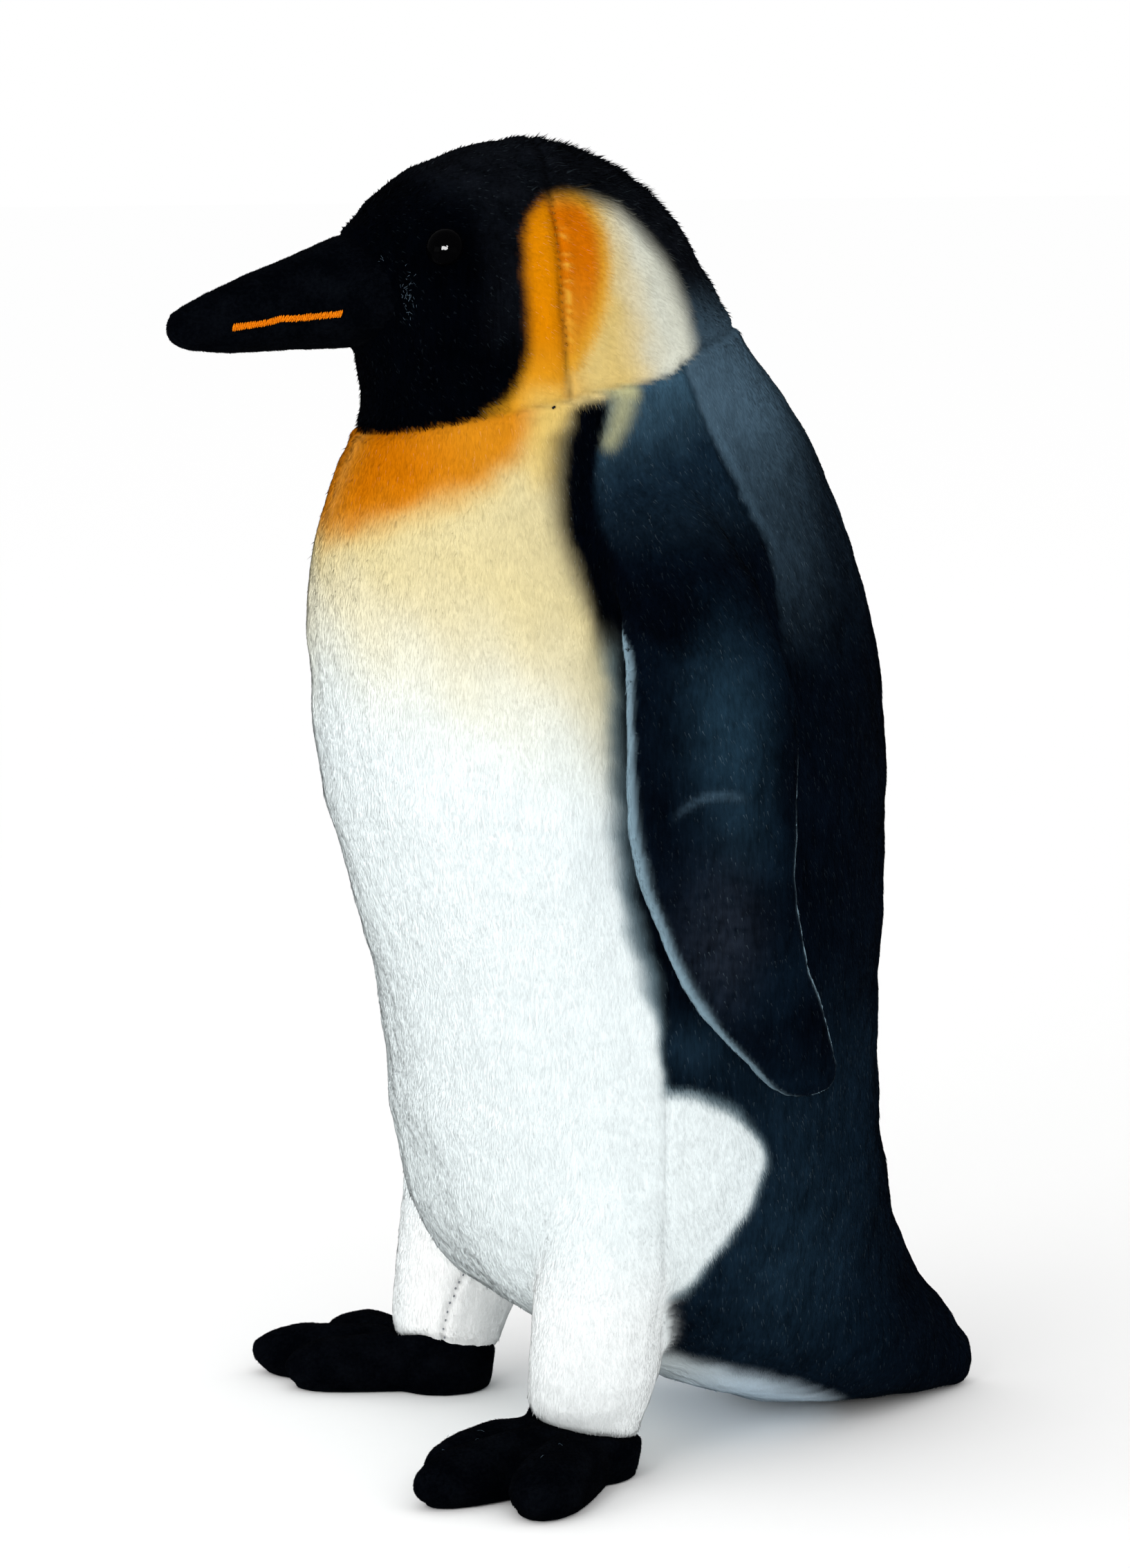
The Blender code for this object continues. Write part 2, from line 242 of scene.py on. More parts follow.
def threadMaterial(name):
    light, dark, rough = threadFinish[name]

    def shader(board):
        twist = board.noise(board.ownPlace(), threadTwist["repeats"], 1.0)
        return {"Base Color": board.mixColour(board.spread(twist, 0.35, 0.65, 0.0, 1.0), dark, light),
                "Roughness": board.spread(twist, 0.3, 0.7, rough - 0.1, rough + 0.15), "Specular IOR Level": 0.0,
                "Normal": board.bump(*threadTwist["bump"], twist)}
    return newMaterial(name, shader)


eyeFinish = {
    "black": (0.0004, 0.0004, 0.0006), "dusty": (0.0022, 0.0020, 0.0024), "dust": (420.0, 420.0, 420.0), "ior": 1.045,
}


def eyeShader(board):
    dust = board.noise(board.ownPlace(), eyeFinish["dust"], 3.0)
    colour = board.mixColour(board.spread(dust, 0.55, 0.75, 0.0, 0.3), eyeFinish["black"], eyeFinish["dusty"])
    return {"Base Color": colour, "Roughness": board.spread(dust, 0.35, 0.75, 0.02, 0.05),
            "IOR": eyeFinish["ior"], "Specular IOR Level": 0.5}


materials = {
    "plushSkin": newMaterial("dyedPlushBacking", plushSkin),
    "plushTuft": newMaterial("dyedPlushPile", plushTuft),
    "velvetSkin": newMaterial("blackVelvet", velvetSkin),
    "velvetNap": newMaterial("blackVelvetNap", velvetNap),
    "eye": newMaterial("blackEyeBead", eyeShader),
    **{name: threadMaterial(name) for name in threadFinish},
}
report("finishes")


# small shape tools

def local(points):  # metres in the shared frame to millimetres about the toy's middle plane
    return (np.asarray(points) - np.array(middle)) / mm


def world(points):
    return np.asarray(points) * mm + np.array(middle)


def smooth(low, high, value):  # from 0 at low to 1 at high: most of these limits are places on the toy, in mm
    t = np.clip((np.asarray(value, float) - low) / (high - low), 0.0, 1.0)
    return t * t * (3 - 2 * t)


def bell(value, wide):
    return np.exp(-(value / wide) ** 2)


def drift(points, size, seed):  # a soft wandering value between about -1 and 1
    dice = np.random.default_rng(seed)
    total = np.zeros(len(points))
    waves, reach = 9, 4.2
    for _ in range(waves):
        way = dice.normal(size=3)
        way *= dice.uniform(4.2, 8.5) / size / np.linalg.norm(way)
        total += np.sin(points @ way + dice.uniform(0, 6.283))
    return total / reach


def alongLine(across, up, points):  # distance to an open line
    points = np.asarray(points, float)
    nearest = np.full(len(across), 1e9)
    for (ax, ay), (bx, by) in zip(points[:-1], points[1:]):
        dx, dy = bx - ax, by - ay
        t = np.clip(((across - ax) * dx + (up - ay) * dy) / (dx * dx + dy * dy), 0, 1)
        nearest = np.minimum(nearest, np.hypot(across - ax - t * dx, up - ay - t * dy))
    return nearest


def inside(across, up, corners):  # distance in from a closed outline, negative outside it
    corners = np.array(list(corners) + [corners[0]], float)
    nearest = alongLine(across, up, corners)
    within = np.zeros(len(across), bool)
    for (ax, ay), (bx, by) in zip(corners[:-1], corners[1:]):
        if by != ay:
            within ^= ((ay > up) != (by > up)) & (across < (bx - ax) * (up - ay) / (by - ay) + ax)
    return np.where(within, nearest, -nearest)


def lyingOn(vectors, normals):  # vectors laid flat on the cloth, at unit length
    flat = vectors - normals * np.sum(vectors * normals, axis=1)[:, None]
    return flat / np.maximum(np.linalg.norm(flat, axis=1), 1e-6)[:, None]


def link(obj):
    bpy.context.scene.collection.objects.link(obj)
    return obj


def nodeCopy(name, change=None):  # a welded copy of a solid
    data = bmesh.new()
    data.from_mesh(frame["nodes"][name].data)
    bmesh.ops.remove_doubles(data, verts=data.verts, dist=1e-5)
    data.normal_update()
    if change:
        change(data)
    return data


def pieceFrom(name, data):  # a piece of the scene from mesh data
    mesh = bpy.data.meshes.new(name)
    data.to_mesh(mesh)
    data.free()
    return link(bpy.data.objects.new(name, mesh))


def meshArrays(mesh):
    place = np.empty(len(mesh.vertices) * 3)
    mesh.vertices.foreach_get("co", place)
    normal = np.empty(len(mesh.vertices) * 3)
    mesh.vertex_normals.foreach_get("vector", normal)
    return place.reshape(-1, 3), normal.reshape(-1, 3)


def setPlaces(mesh, place):
    mesh.vertices.foreach_set("co", np.asarray(place, np.float32).ravel())
    mesh.update()


def settle(obj):  # the modifiers' result becomes the piece's own mesh
    deps = bpy.context.evaluated_depsgraph_get()
    made = bpy.data.meshes.new_from_object(obj.evaluated_get(deps), preserve_all_data_layers=True, depsgraph=deps)
    obj.modifiers.clear()
    obj.data = made
    made.name = obj.name
    return obj


def remesh(obj, voxel, rounds):
    step = obj.modifiers.new("remesh", "REMESH")
    step.mode, step.voxel_size, step.use_smooth_shade = "VOXEL", voxel, True
    soften = obj.modifiers.new("soften", "SMOOTH")
    soften.factor, soften.iterations = 0.5, rounds
    return settle(obj)


def dress(obj, material):
    obj.data.materials.clear()
    obj.data.materials.append(material)
    obj.data.shade_smooth()


def treeOf(mesh):
    faces = [tuple(face.vertices) for face in mesh.polygons]
    return BVHTree.FromPolygons([v.co for v in mesh.vertices], faces)


def addPart(data, verts, faces):
    made = [data.verts.new(v) for v in verts]
    for face in faces:
        data.faces.new([made[i] for i in face])


def store(mesh, name, kind, values, domain="POINT"):
    held = mesh.attributes.new(name, kind, domain)
    key = {"FLOAT": "value", "INT": "value", "FLOAT_VECTOR": "vector", "FLOAT_COLOR": "color"}[kind]
    held.data.foreach_set(key, np.ascontiguousarray(values, np.int32 if kind == "INT" else np.float32).ravel())


def storeCoat(mesh, vectors, values, region):  # what the pile tree reads from a skin
    for name, value in vectors.items():
        store(mesh, name, "FLOAT_VECTOR", value)
    for name, value in values.items():
        store(mesh, name, "FLOAT", value)
    store(mesh, "region", "INT", region, "FACE")


def mirrored(points):
    return [(-px, py, pz) for px, py, pz in points]


def onCloth(tree, points, rise=0.0):  # the nearest places on the cloth, lifted by rise mm, with its normals
    found = [tree.find_nearest(Vector(p)) for p in world(points)]
    normals = np.array([f[1][:] for f in found])
    return np.array([f[0][:] for f in found]) + normals * rise * mm, normals


def laid(tree, points, step, rise=0.0, closed=False):  # a line through the points, laid on the cloth
    points = np.asarray(points, float)
    if closed:
        points = np.vstack([points, points[:1]])
    total = np.concatenate([[0], np.cumsum(np.linalg.norm(np.diff(points, axis=0), axis=1))])
    marks = np.linspace(0, total[-1], max(3, int(total[-1] / step)))
    return onCloth(tree, np.column_stack([np.interp(marks, total, points[:, i]) for i in range(3)]), rise)


# one plush skin

skinSize = {
    "voxel": 1.4 * mm, "overlap": 0.45 * mm, "coatDepth": 1.15 * mm, "smoothing": 5,
    "lump": 0.55, "lumpSize": 34.0, "ripple": 0.16, "rippleSize": 9.0,  # stuffing under the cloth, mm
    "billStub": {"from": -82, "height": 352, "narrow": 0.8, "short": 0.06},
    "legEnd": {"middle": (56, -22), "narrow": 0.86, "sink": 4.5, "above": 1.0},
    "armpit": {"middle": (75, 2, 248), "half": (5.5, 15, 13)},  # cloth gathered where the flipper is caught
    "shoulderRounds": 110, "tailRounds": 60,
}
hem = {"height": 15.2, "fall": 0.21, "middle": (56, -24), "innerRise": 3.8, "stepIn": 1.8}
plushNodes = ("head", "trunk", "tail", "leg_left", "leg_right", "flipper_left", "flipper_right")
eyeNodes = ("eye_left", "eye_right")


def footTop(along):  # the foot is lower towards the heel
    return hem["height"] - hem["fall"] * (along - hem["middle"][1])


def innerRise(across, along):  # the velvet stands higher on the inner side of the ankle
    return hem["innerRise"] * (1 - smooth(44, 58, np.abs(across))) * smooth(-68, -46, along)


def hemHeight(across, along):  # where the velvet foot meets the leg
    return footTop(along) + innerRise(across, along)


def swell(data):  # neighbours meet
    for vert in data.verts:
        vert.co += vert.normal * skinSize["overlap"]


def stub(data):  # the bill fills its socket in the skin from inside
    own = skinSize["billStub"]
    for vert in data.verts:
        x, y, z = local(vert.co[:])
        if y < own["from"]:
            x, y = x * own["narrow"], own["from"] + (y - own["from"]) * own["short"]
            z = own["height"] + (z - own["height"]) * own["narrow"]
        vert.co = Vector(world((x, y, z)))
    swell(data)


def legEnd(data):  # the leg runs a little way down inside the foot
    own = skinSize["legEnd"]
    for vert in data.verts:
        x, y, z = local(vert.co[:])
        if z < footTop(y) + own["above"]:
            side, back = math.copysign(own["middle"][0], x), own["middle"][1]
            narrowed = (side + (x - side) * own["narrow"], back + (y - back) * own["narrow"], z - own["sink"])
            vert.co = Vector(world(narrowed))
    data.normal_update()
    swell(data)


joined = bmesh.new()
for name in plushNodes + ("bill",) + eyeNodes:
    part = nodeCopy(name, stub if name == "bill" else legEnd if name.startswith("leg") else swell)
    addPart(joined, [v.co.copy() for v in part.verts], [[v.index for v in f.verts] for f in part.faces])
    part.free()
for side in (1, -1):
    plug = bmesh.new()
    bmesh.ops.create_icosphere(plug, subdivisions=2, radius=1.0)
    (px, py, pz), (wide, deep, high) = skinSize["armpit"]["middle"], skinSize["armpit"]["half"]
    spots = [(side * (px + v.co.x * wide), py + v.co.y * deep, pz + v.co.z * high) for v in plug.verts]
    rings = [[v.index for v in (f.verts if side > 0 else reversed(f.verts[:]))] for f in plug.faces]
    addPart(joined, [Vector(world(spot)) for spot in spots], rings)
    plug.free()
skin = remesh(pieceFrom("plushSkin", joined), skinSize["voxel"], skinSize["smoothing"])
place, normal = meshArrays(skin.data)
place = place - normal * (skinSize["overlap"] + skinSize["coatDepth"])
edgeEnds = np.empty(len(skin.data.edges) * 2, int)
skin.data.edges.foreach_get("vertices", edgeEnds)
edgeStart, edgeEnd = edgeEnds.reshape(-1, 2).T
neighbours = np.bincount(edgeStart, minlength=len(place)) + np.bincount(edgeEnd, minlength=len(place))


def nearby(values):  # the sum over each point's neighbours
    return (np.bincount(edgeStart, values[edgeEnd], len(values))
            + np.bincount(edgeEnd, values[edgeStart], len(values)))


def relax(place, share, rounds):  # the cloth runs smoothly where share is 1
    for _ in range(rounds):
        near = np.column_stack([nearby(place[:, k]) for k in range(3)])
        place = place + (near / neighbours[:, None] - place) * (0.5 * share)[:, None]
    return place


def evened(share, rounds):  # a mask averaged over its neighbours, so its edge has no steps
    for _ in range(rounds):
        share = 0.5 * share + 0.5 * nearby(share) / neighbours
    return share


x, y, z = local(place).T
shoulder = (np.maximum(smooth(257, 268, z), smooth(236, 252, z) * smooth(14, 26, y))
            * (1 - smooth(304, 316, z)) * smooth(42, 52, np.abs(x)))
place = relax(place, shoulder, skinSize["shoulderRounds"])
tailRoot = smooth(92, 100, y) * (1 - smooth(116, 124, y)) * smooth(20, 28, z)
place = relax(place, tailRoot, skinSize["tailRounds"])
setPlaces(skin.data, place)
place, normal = meshArrays(skin.data)
at = local(place)
x, y, z = at.T
sideways = np.abs(x)
outward, upward = normal[:, 0] * np.where(x < 0, -1.0, 1.0), normal[:, 2]
forward = -normal[:, 1]
report("skin of %d faces" % len(skin.data.polygons))


# which part of the toy each point of the skin is
def nearTo(name, margin=6.0):
    low, high = (np.array(c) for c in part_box(name))
    near = np.all((place > low - margin * mm) & (place < high + margin * mm), axis=1)
    source = nodeCopy(name)
    tree = BVHTree.FromBMesh(source)
    gap = np.full(len(place), 1.0)
    for i in np.nonzero(near)[0]:
        gap[i] = tree.find_nearest(place[i])[3]
    source.free()
    return gap


trunkGap = nearTo("trunk", 8.0)
billGap, headGap = nearTo("bill"), nearTo("head")
onBill = billGap < headGap - 0.3 * mm
flipper = (nearTo("flipper_left") < trunkGap - 0.4 * mm) | (nearTo("flipper_right") < trunkGap - 0.4 * mm)
legs = (nearTo("leg_left") < trunkGap) | (nearTo("leg_right") < trunkGap)
neck = {"height": 331.2, "slope": 0.25, "dip": ([-80, -50, -28, -14, -5, 3, 11, 17, 26, 60],
                                               [-1.1, -1.6, -2.3, -2.3, -2.9, -3.8, -3.9, -1.8, 0.3, 0])}


def neckHeight(across):  # the neck seam dips at the sides
    return neck["height"] + neck["slope"] * across + np.interp(across, *neck["dip"])


neckLine = neckHeight(y)
head = (z > neckLine) & ~flipper
headShare = smooth(-0.7, 0.7, z - neckLine) * ~flipper
legShare = evened(legs * 1.0, 4)
lowLeg = smooth(0.2, 0.8, legShare) * (1 - smooth(46, 54, z))
report("parts of the skin")


# seams, drawn in millimetres and laid on the skin
skinTree = treeOf(skin.data)


def roundNeck(count=120):
    middleY, start = -12, 328.2
    ring = []
    for k in range(count):
        a = 2 * math.pi * k / count
        rise = -0.25 * math.cos(a)
        for _ in range(3):  # each pass comes closer to the seam's height
            way = Vector((math.sin(a), -math.cos(a), rise)).normalized()
            found = local(skinTree.ray_cast(Vector(world((0, middleY, start))), way)[0][:])
            rise = (float(neckHeight(found[1])) - start) / math.hypot(found[0], found[1] - middleY)
        ring.append(found)
    return ring


earSeam = [(0, -17.5, 398), (14, -18.8, 396.3), (22.4, -20.6, 391.8), (32.1, -23.1, 382.7), (39.2, -24.4, 371.4),
           (43.1, -24.8, 360), (44.8, -24.8, 348.6), (45.5, -24.0, 337.1), (45.0, -22.4, 323.4)]
sideSeam = [(48, -16.0, 318.5), (50.7, -20.5, 302.6), (57, -22.5, 285), (63, -21.5, 268), (69, -15.5, 246),
            (75, -12, 212), (76.5, -8, 185), (76.7, -5, 157.7), (76.1, -4.7, 141), (75.8, -4.5, 117),
            (75.3, -4.2, 93.5), (74.6, -3.8, 69.4), (73.3, -3.2, 45.1)]
gussetSeam = [(43.2, 15.6, 333.0), (44.3, 16.7, 330.3), (46.2, 22.3, 315), (49.4, 27.3, 301), (52.4, 32.5, 289.4),
              (55, 38.1, 279.9), (60, 40, 268), (66, 38, 250), (71, 35, 225), (74, 33, 190), (75, 33, 150),
              (74, 36, 122)]
legSeam = [(-35.6, -25.5, 41), (-36.3, -27.1, 37), (-37.1, -28.6, 32.6), (-38.1, -30.1, 27.5), (-38.7, -30.7, 24.1),
           (-39, -31, 19)]
seams = {  # name: (line, depth, half width and puff at the sides in mm, painted shade in the seam's hollow)
    "neck": (laid(skinTree, roundNeck(), 1.0, closed=True), 1.1, 1.5, 0.35, 1.0),
}
for name, points, *shape in (("ear", earSeam, 0.9, 1.3, 0.45, 1.7), ("side", sideSeam, 0.5, 1.0, 0.18, 0.4),
                             ("gusset", gussetSeam, 0.8, 1.4, 0.35, 1.0), ("leg", legSeam, 0.5, 1.0, 0.15, 1.0)):
    seams[name] = (laid(skinTree, points, 1.0), *shape)
    seams[name + "Mirrored"] = (laid(skinTree, mirrored(points), 1.0), *shape)
lift = np.zeros(len(place))
seamGrooveShade = np.zeros(len(place))
seamGap = {}
for number, (name, (line, depth, width, puff, paintedGrooveShade)) in enumerate(seams.items()):
    reach = 9 * mm
    low, high = line[0].min(axis=0) - reach, line[0].max(axis=0) + reach
    near = np.nonzero(np.all((place > low) & (place < high), axis=1))[0]
    finder = KDTree(len(line[0]))
    for k, point in enumerate(line[0]):
        finder.insert(point, k)
    finder.balance()
    gap = np.full(len(place), 99.0)
    gap[near] = [finder.find(place[i])[2] / mm for i in near]
    gap[flipper] = 99.0
    seamGap[name] = gap
    ripple = 1.0 + 0.35 * drift(at, 7.0, 40 + number)  # the cloth puckers unevenly beside the thread
    lift += -depth * bell(gap, width) + puff * ripple * bell(gap - 3.2, 1.9)
    # how much painted shade lies in the hollow of each seam, also where the pile is thinned
    seamGrooveShade = np.maximum(seamGrooveShade, bell(gap, 0.9) * paintedGrooveShade)
report("seams")

# stuffing, and the flippers' folds, in mm
stuffing = {
    "sleeveFront": ([140, 155, 172, 190, 215, 240], [2.4, 3.6, 2.6, 4.0, 3.2, 1.9]),  # by height
    "frontRim": ([118, 135, 155, 205, 245], [0.16, 0.36, 0.44, 0.43, 0.27]),
    "rearRim": ([120, 150, 195, 222, 232], [0.30, 0.46, 0.46, 0.36, 0.0]),
    "earRidge": ([325, 337, 360, 371, 383], [-22.6, -24.0, -24.8, -24.4, -23.1]),
    "back": (
        [120, 140, 152, 162, 172, 185, 200, 215, 230, 272, 300, 314, 320, 326, 336, 345, 350, 356, 370, 380, 388],
        [0, 0.3, 1.1, 1.4, 0.9, 0.7, 0.9, 0.7, 0.8, 1.0, 1.4, 2.1, 2.4, 2.2, 1.4, 0.5, 0.5, 1.1, 1.2, 0.4, 0]),
    "backFrom": ([300, 345, 360], [14, 6, -4]),
    "forehead": ((1.7, 62, 9.0, 375), (1.0, 75, 5.0, 372), (1.2, 54, 6.0, 391)),  # lift, forward, width, height
    "eyeDimple": (0.8, 5.2, 9.5), "tailCorner": 2.0, "legWaist": 2.4, "pucker": 0.55,
    "armFold": {"middle": (-20.0, 264.0), "ring": 13, "wide": 9.0, "folds": 5.0, "depth": 0.9},
    "crease": {"height": 210.2, "at": 1.5, "bend": 0.03, "ridge": 0.6, "hollow": 0.55},
}
# the face comes up to meet the bill
lift += (skinSize["coatDepth"] / mm - 0.3) * bell(billGap / mm, 3.0) * ~onBill
lift += (skinSize["lump"] * drift(at, skinSize["lumpSize"], 1)
         + skinSize["ripple"] * drift(at, skinSize["rippleSize"], 2))
padding = np.interp(z, *stuffing["sleeveFront"])
lift += flipper * (1 - smooth(250, 262, z)) * (0.6 + padding * smooth(0.2, 0.9, forward)
                                               + 0.5 * smooth(0.2, 0.9, -forward))
rimEdge = (np.where(forward > 0, np.interp(z, *stuffing["frontRim"]), np.interp(z, *stuffing["rearRim"]))
           + 0.05 * drift(at, 9.0, 5) - 1.6 * smooth(252, 266, z))
pucker = np.zeros(len(place))  # the cloth bunches between the stitches behind the ear seam
bunches = np.clip(np.sin(2 * math.pi * z / 4.3 + 2.8 * drift(at, 6.0, 57)) + 0.5 * drift(at, 3.0, 59), 0, 1)
for name in ("ear", "earMirrored"):
    pucker = np.maximum(pucker, bell(seamGap[name] - 2.1, 1.1) * bunches)
pucker *= (y > np.interp(z, *stuffing["earRidge"]) + 0.6) * smooth(326, 334, z) * (1 - smooth(368, 376, z))
lift += stuffing["pucker"] * pucker
panel = smooth(-0.30, 0.30, rimEdge - evened(outward, 4)) * flipper  # the flipper's pale lining
lift -= 0.7 * bell(rimEdge - outward, 0.10) * flipper * (z < 262)
lift += stuffing["tailCorner"] * smooth(120, 130, y) * (1 - smooth(12, 20, z))  # the tail ends in a firm corner
# the leg is slimmer behind, where it joins the body
lift -= (stuffing["legWaist"] * bell(z - 47, 11.0) * smooth(-12, -4, y) * (1 - smooth(3, 9, y))
         * smooth(60, 66, sideways) * (1 - flipper))
# well stuffed behind the neck and shoulders, and at the forehead
lift += np.interp(z, *stuffing["back"]) * smooth(12, 34, y - np.interp(z, *stuffing["backFrom"])) * ~flipper
lift += head * sum(rise * np.exp(-((y + front) / wide) ** 2 - ((z - high) / wide) ** 2)
                   for rise, front, wide, high in stuffing["forehead"])


def eyeGaps():  # how far each point is from the middle of each bead, metres
    for name in eyeNodes:
        low, high = (np.array(c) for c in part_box(name))
        yield np.linalg.norm(place - (low + high) / 2, axis=1)


for gap in eyeGaps():
    depth, near, far = stuffing["eyeDimple"]
    lift -= depth * (1 - smooth(near, far, gap / mm))
# puckers where the flipper is caught to the body
armFold = stuffing["armFold"]
turnY, turnZ = y - armFold["middle"][0], z - armFold["middle"][1]
spoke = np.arctan2(turnZ, turnY)
fold = bell(np.hypot(turnY, turnZ) - armFold["ring"], armFold["wide"]) * (sideways > 52) * smooth(0.1, 0.5, outward)
lift += fold * (armFold["depth"] * np.sin(spoke * armFold["folds"] + 0.6 * drift(at, 18.0, 7)) - 0.4)
# one crease bowed across each flipper
crease = stuffing["crease"]
off = y - crease["at"]
fromCrease = z - (crease["height"] - crease["bend"] * off ** 2 * np.where(y < crease["at"], 1.25, 0.45))
creaseReach = smooth(-13, -5, y) * (1 - smooth(6, 13, y)) * flipper * (outward > 0.3)
arc = bell(fromCrease, 1.3) * creaseReach
lift += crease["ridge"] * arc - crease["hollow"] * bell(fromCrease + 3.2, 2.0) * creaseReach
place = place + normal * (lift * mm)[:, None]
# the leg steps in where the velvet covers it
fromAnkle = np.column_stack([x - np.sign(x) * hem["middle"][0], y - hem["middle"][1]])
fromAnkle /= np.maximum(np.linalg.norm(fromAnkle, axis=1), 4.0)[:, None]
place[:, :2] -= fromAnkle * (hem["stepIn"] * mm * legs * (1 - smooth(-1.5, 1.2, z - hemHeight(x, y))))[:, None]
place[:, 2] = np.maximum(place[:, 2], 0.35 * mm)
setPlaces(skin.data, place)
place, normal = meshArrays(skin.data)
report("stuffing and folds")


# the dyes, sprayed one over another

dyes = {
    "white": (0.742, 0.812, 0.820), "paintedLegLight": (0.84, 0.88, 0.88), "paintedInnerLegLight": (0.95, 0.96, 0.95),
    "pale": (0.745, 0.768, 0.680), "cream": (0.665, 0.575, 0.310), "yellow": (0.640, 0.440, 0.110),
    "orange": (0.51, 0.140, 0.0006), "gold": (0.58, 0.200, 0.0010),
    "earOrange": (0.58, 0.190, 0.0008), "earDeep": (0.55, 0.134, 0.0006), "earGold": (0.62, 0.29, 0.014),
    "earCream": (0.62, 0.46, 0.165), "earPale": (0.60, 0.61, 0.515), "hook": (0.44, 0.43, 0.23),
    "hood": (0.0003, 0.0006, 0.0014), "black": (0.0004, 0.0009, 0.0022), "crown": (0.0040, 0.0050, 0.0072),
    "navy": (0.0030, 0.0088, 0.0175), "deepNavy": (0.0011, 0.0026, 0.0056), "brown": (0.012, 0.017, 0.027),
    "slate": (0.062, 0.110, 0.155), "blueSlate": (0.033, 0.074, 0.112), "lining": (0.190, 0.285, 0.345),
    "underside": (0.50, 0.70, 0.90), "fringe": (0.11, 0.24, 0.31), "sheen": (0.0098, 0.0265, 0.0440),
    "dusk": (0.0066, 0.0175, 0.0310),
}
dye = np.tile(np.array(dyes["white"]), (len(place), 1))


def spray(colour, amount):
    global dye
    amount = np.clip(amount, 0, 1)[:, None]
    dye = dye * (1 - amount) + np.array(dyes[colour]) * amount


def haze(across, up, wide, high):  # a soft round of spray on the side of the toy
    return np.exp(-((y - across) / wide) ** 2 - ((z - up) / high) ** 2)


wander = 0.7 * drift(at, 15.0, 11) + 0.2 * drift(at, 5.0, 12)  # airbrushed edges are never quite even
angle = np.degrees(np.arctan2(sideways, -(y - 4.0)))
flipperShare = flipper * (1 - smooth(256, 276, z))  # the shoulder is dyed with the body

# the breast: orange under the neck seam, yellow, cream, then white
breast = {  # heights by the angle round from the front
    "cream": ([0, 23.5, 40.7, 57.5, 71, 90], [250, 243, 236, 229, 219, 215]),
    "orange": ([0, 13.5, 27, 38.6, 45, 60, 73, 90], [284, 289, 296.5, 303, 309, 325, 334, 345]),
}
aboveCream = z - (np.interp(angle, *breast["cream"]) + 3.5 * drift(at, 26.0, 13))
spray("pale", 0.85 * smooth(-34, 8, aboveCream))
spray("cream", smooth(-12, 36, aboveCream))
aboveOrange = z - (np.interp(angle, *breast["orange"]) + 1.2 * drift(at, 12.0, 14))
spray("yellow", 0.85 * smooth(-17, 4, aboveOrange))
spray("gold", 0.95 * smooth(-12, 5, aboveOrange) * (0.75 + 0.25 * smooth(-2, 6, angle))
      * (1 - 0.92 * smooth(42, 54, angle)))
beside = 0.40 + 0.60 * smooth(1, 10, angle + 0.8 * wander)  # sprayed from each side, so the middle is paler
spray("orange", smooth(-6, 10, aboveOrange) * beside * (1 - smooth(16, 46, angle + 0.8 * (z - 300))))

# the dark back and sides, round the thigh patch, down to the pale underside
back = {  # points are (back, up) in mm
    "outline": [
        (-4, 345), (-6, 330), (-12, 322), (-16.9, 320.8), (-20.1, 310.7), (-22.6, 300.3), (-23.4, 289.7),
        (-23.0, 282.5), (-21.6, 272), (-20.0, 262), (-19.2, 252), (-19.3, 246), (-19.5, 234.8), (-19.6, 223.4),
        (-19.4, 212),
        (-19.4, 200.3), (-18.1, 188.7), (-16.4, 179), (-14.6, 169.8), (-12.4, 161), (-9.8, 153.1), (-7.0, 144),
        (-5.2, 133), (-4.8, 121), (-3.3, 118.7), (5.1, 117.2), (12.8, 113.8), (19.3, 110.2), (24.7, 105.6),
        (28.5, 99.8), (28.6, 93), (25.8, 85.8), (22.4, 78.4), (16.9, 71.3), (9.7, 62.7), (4.5, 55.6), (-4.2, 51.5),
        (-5, 37), (13, 30.5), (32, 24.0), (48, 17.2), (65, 9.6), (76, 4.0), (86, -2.0), (100, -10), (220, -6),
        (220, 420), (-4, 420)],
    "softness": ([25, 50, 110, 121, 165, 180, 245, 262, 275, 300],
                 [5.0, 2.8, 2.6, 4.2, 5.2, 5.2, 5.2, 4.6, 3.0, 3.0]),
    "gusset": ([122, 150, 190, 225, 250, 268, 281.5, 301.9, 330.4], [36, 33, 33, 35, 38, 39, 37, 27, 16.7]),
    "bluish": ((0.95, 40, 66, 26, 34), (0.8, 4, 132, 12, 9), (0.35, 40, 118, 40, 24)),  # amount and haze
}
edge = inside(y, z, back["outline"]) + wander
sharper = smooth(117, 121, z) * (1 - smooth(134, 152, z))
edge = edge / (np.interp(z, *back["softness"]) * (1 - 0.5 * sharper))
dark = smooth(-1, 1, edge) * (1 - lowLeg)
spray("fringe", 0.80 * smooth(-0.95, 0.4, edge) * smooth(40, 60, z) * (1 - smooth(250, 270, z)) * (1 - lowLeg))
spray("deepNavy", dark)
spray("navy", dark * np.clip(0.35 + 0.35 * drift(at, 40.0, 17), 0, 1) * (1 - smooth(95, 150, z))
      * (1 - smooth(75, 120, y)))
spray("dusk", dark * np.clip(sum(amount * haze(*where) for amount, *where in back["bluish"]), 0, 1))
behind = smooth(-0.8, 0.8, y - np.interp(z, *back["gusset"]) + 0.4 * drift(at, 6.0, 18))
spray("navy", dark * (1 - behind) * smooth(282, 300, z) * 0.9)
# slate and blue slate high on the back, lighter towards the top: partly the panels' own colour, partly a painted sheen
# where the pile faces up
spray("blueSlate", dark * (1 - behind) * (0.06 * smooth(274, 290, z)
                                          + 0.9 * smooth(297, 327, z - 0.32 * (y + 2) + 2.0 * drift(at, 14.0, 19))))
spray("slate", dark * behind * (0.22 * smooth(236, 284, z) + 0.62 * smooth(278, 330, z))
      * (1 - 0.8 * smooth(42, 70, y)))
spray("slate", dark * bell(seamGap["gusset"] - 2.5, 2.2) * behind * smooth(272, 300, z) * 0.40)

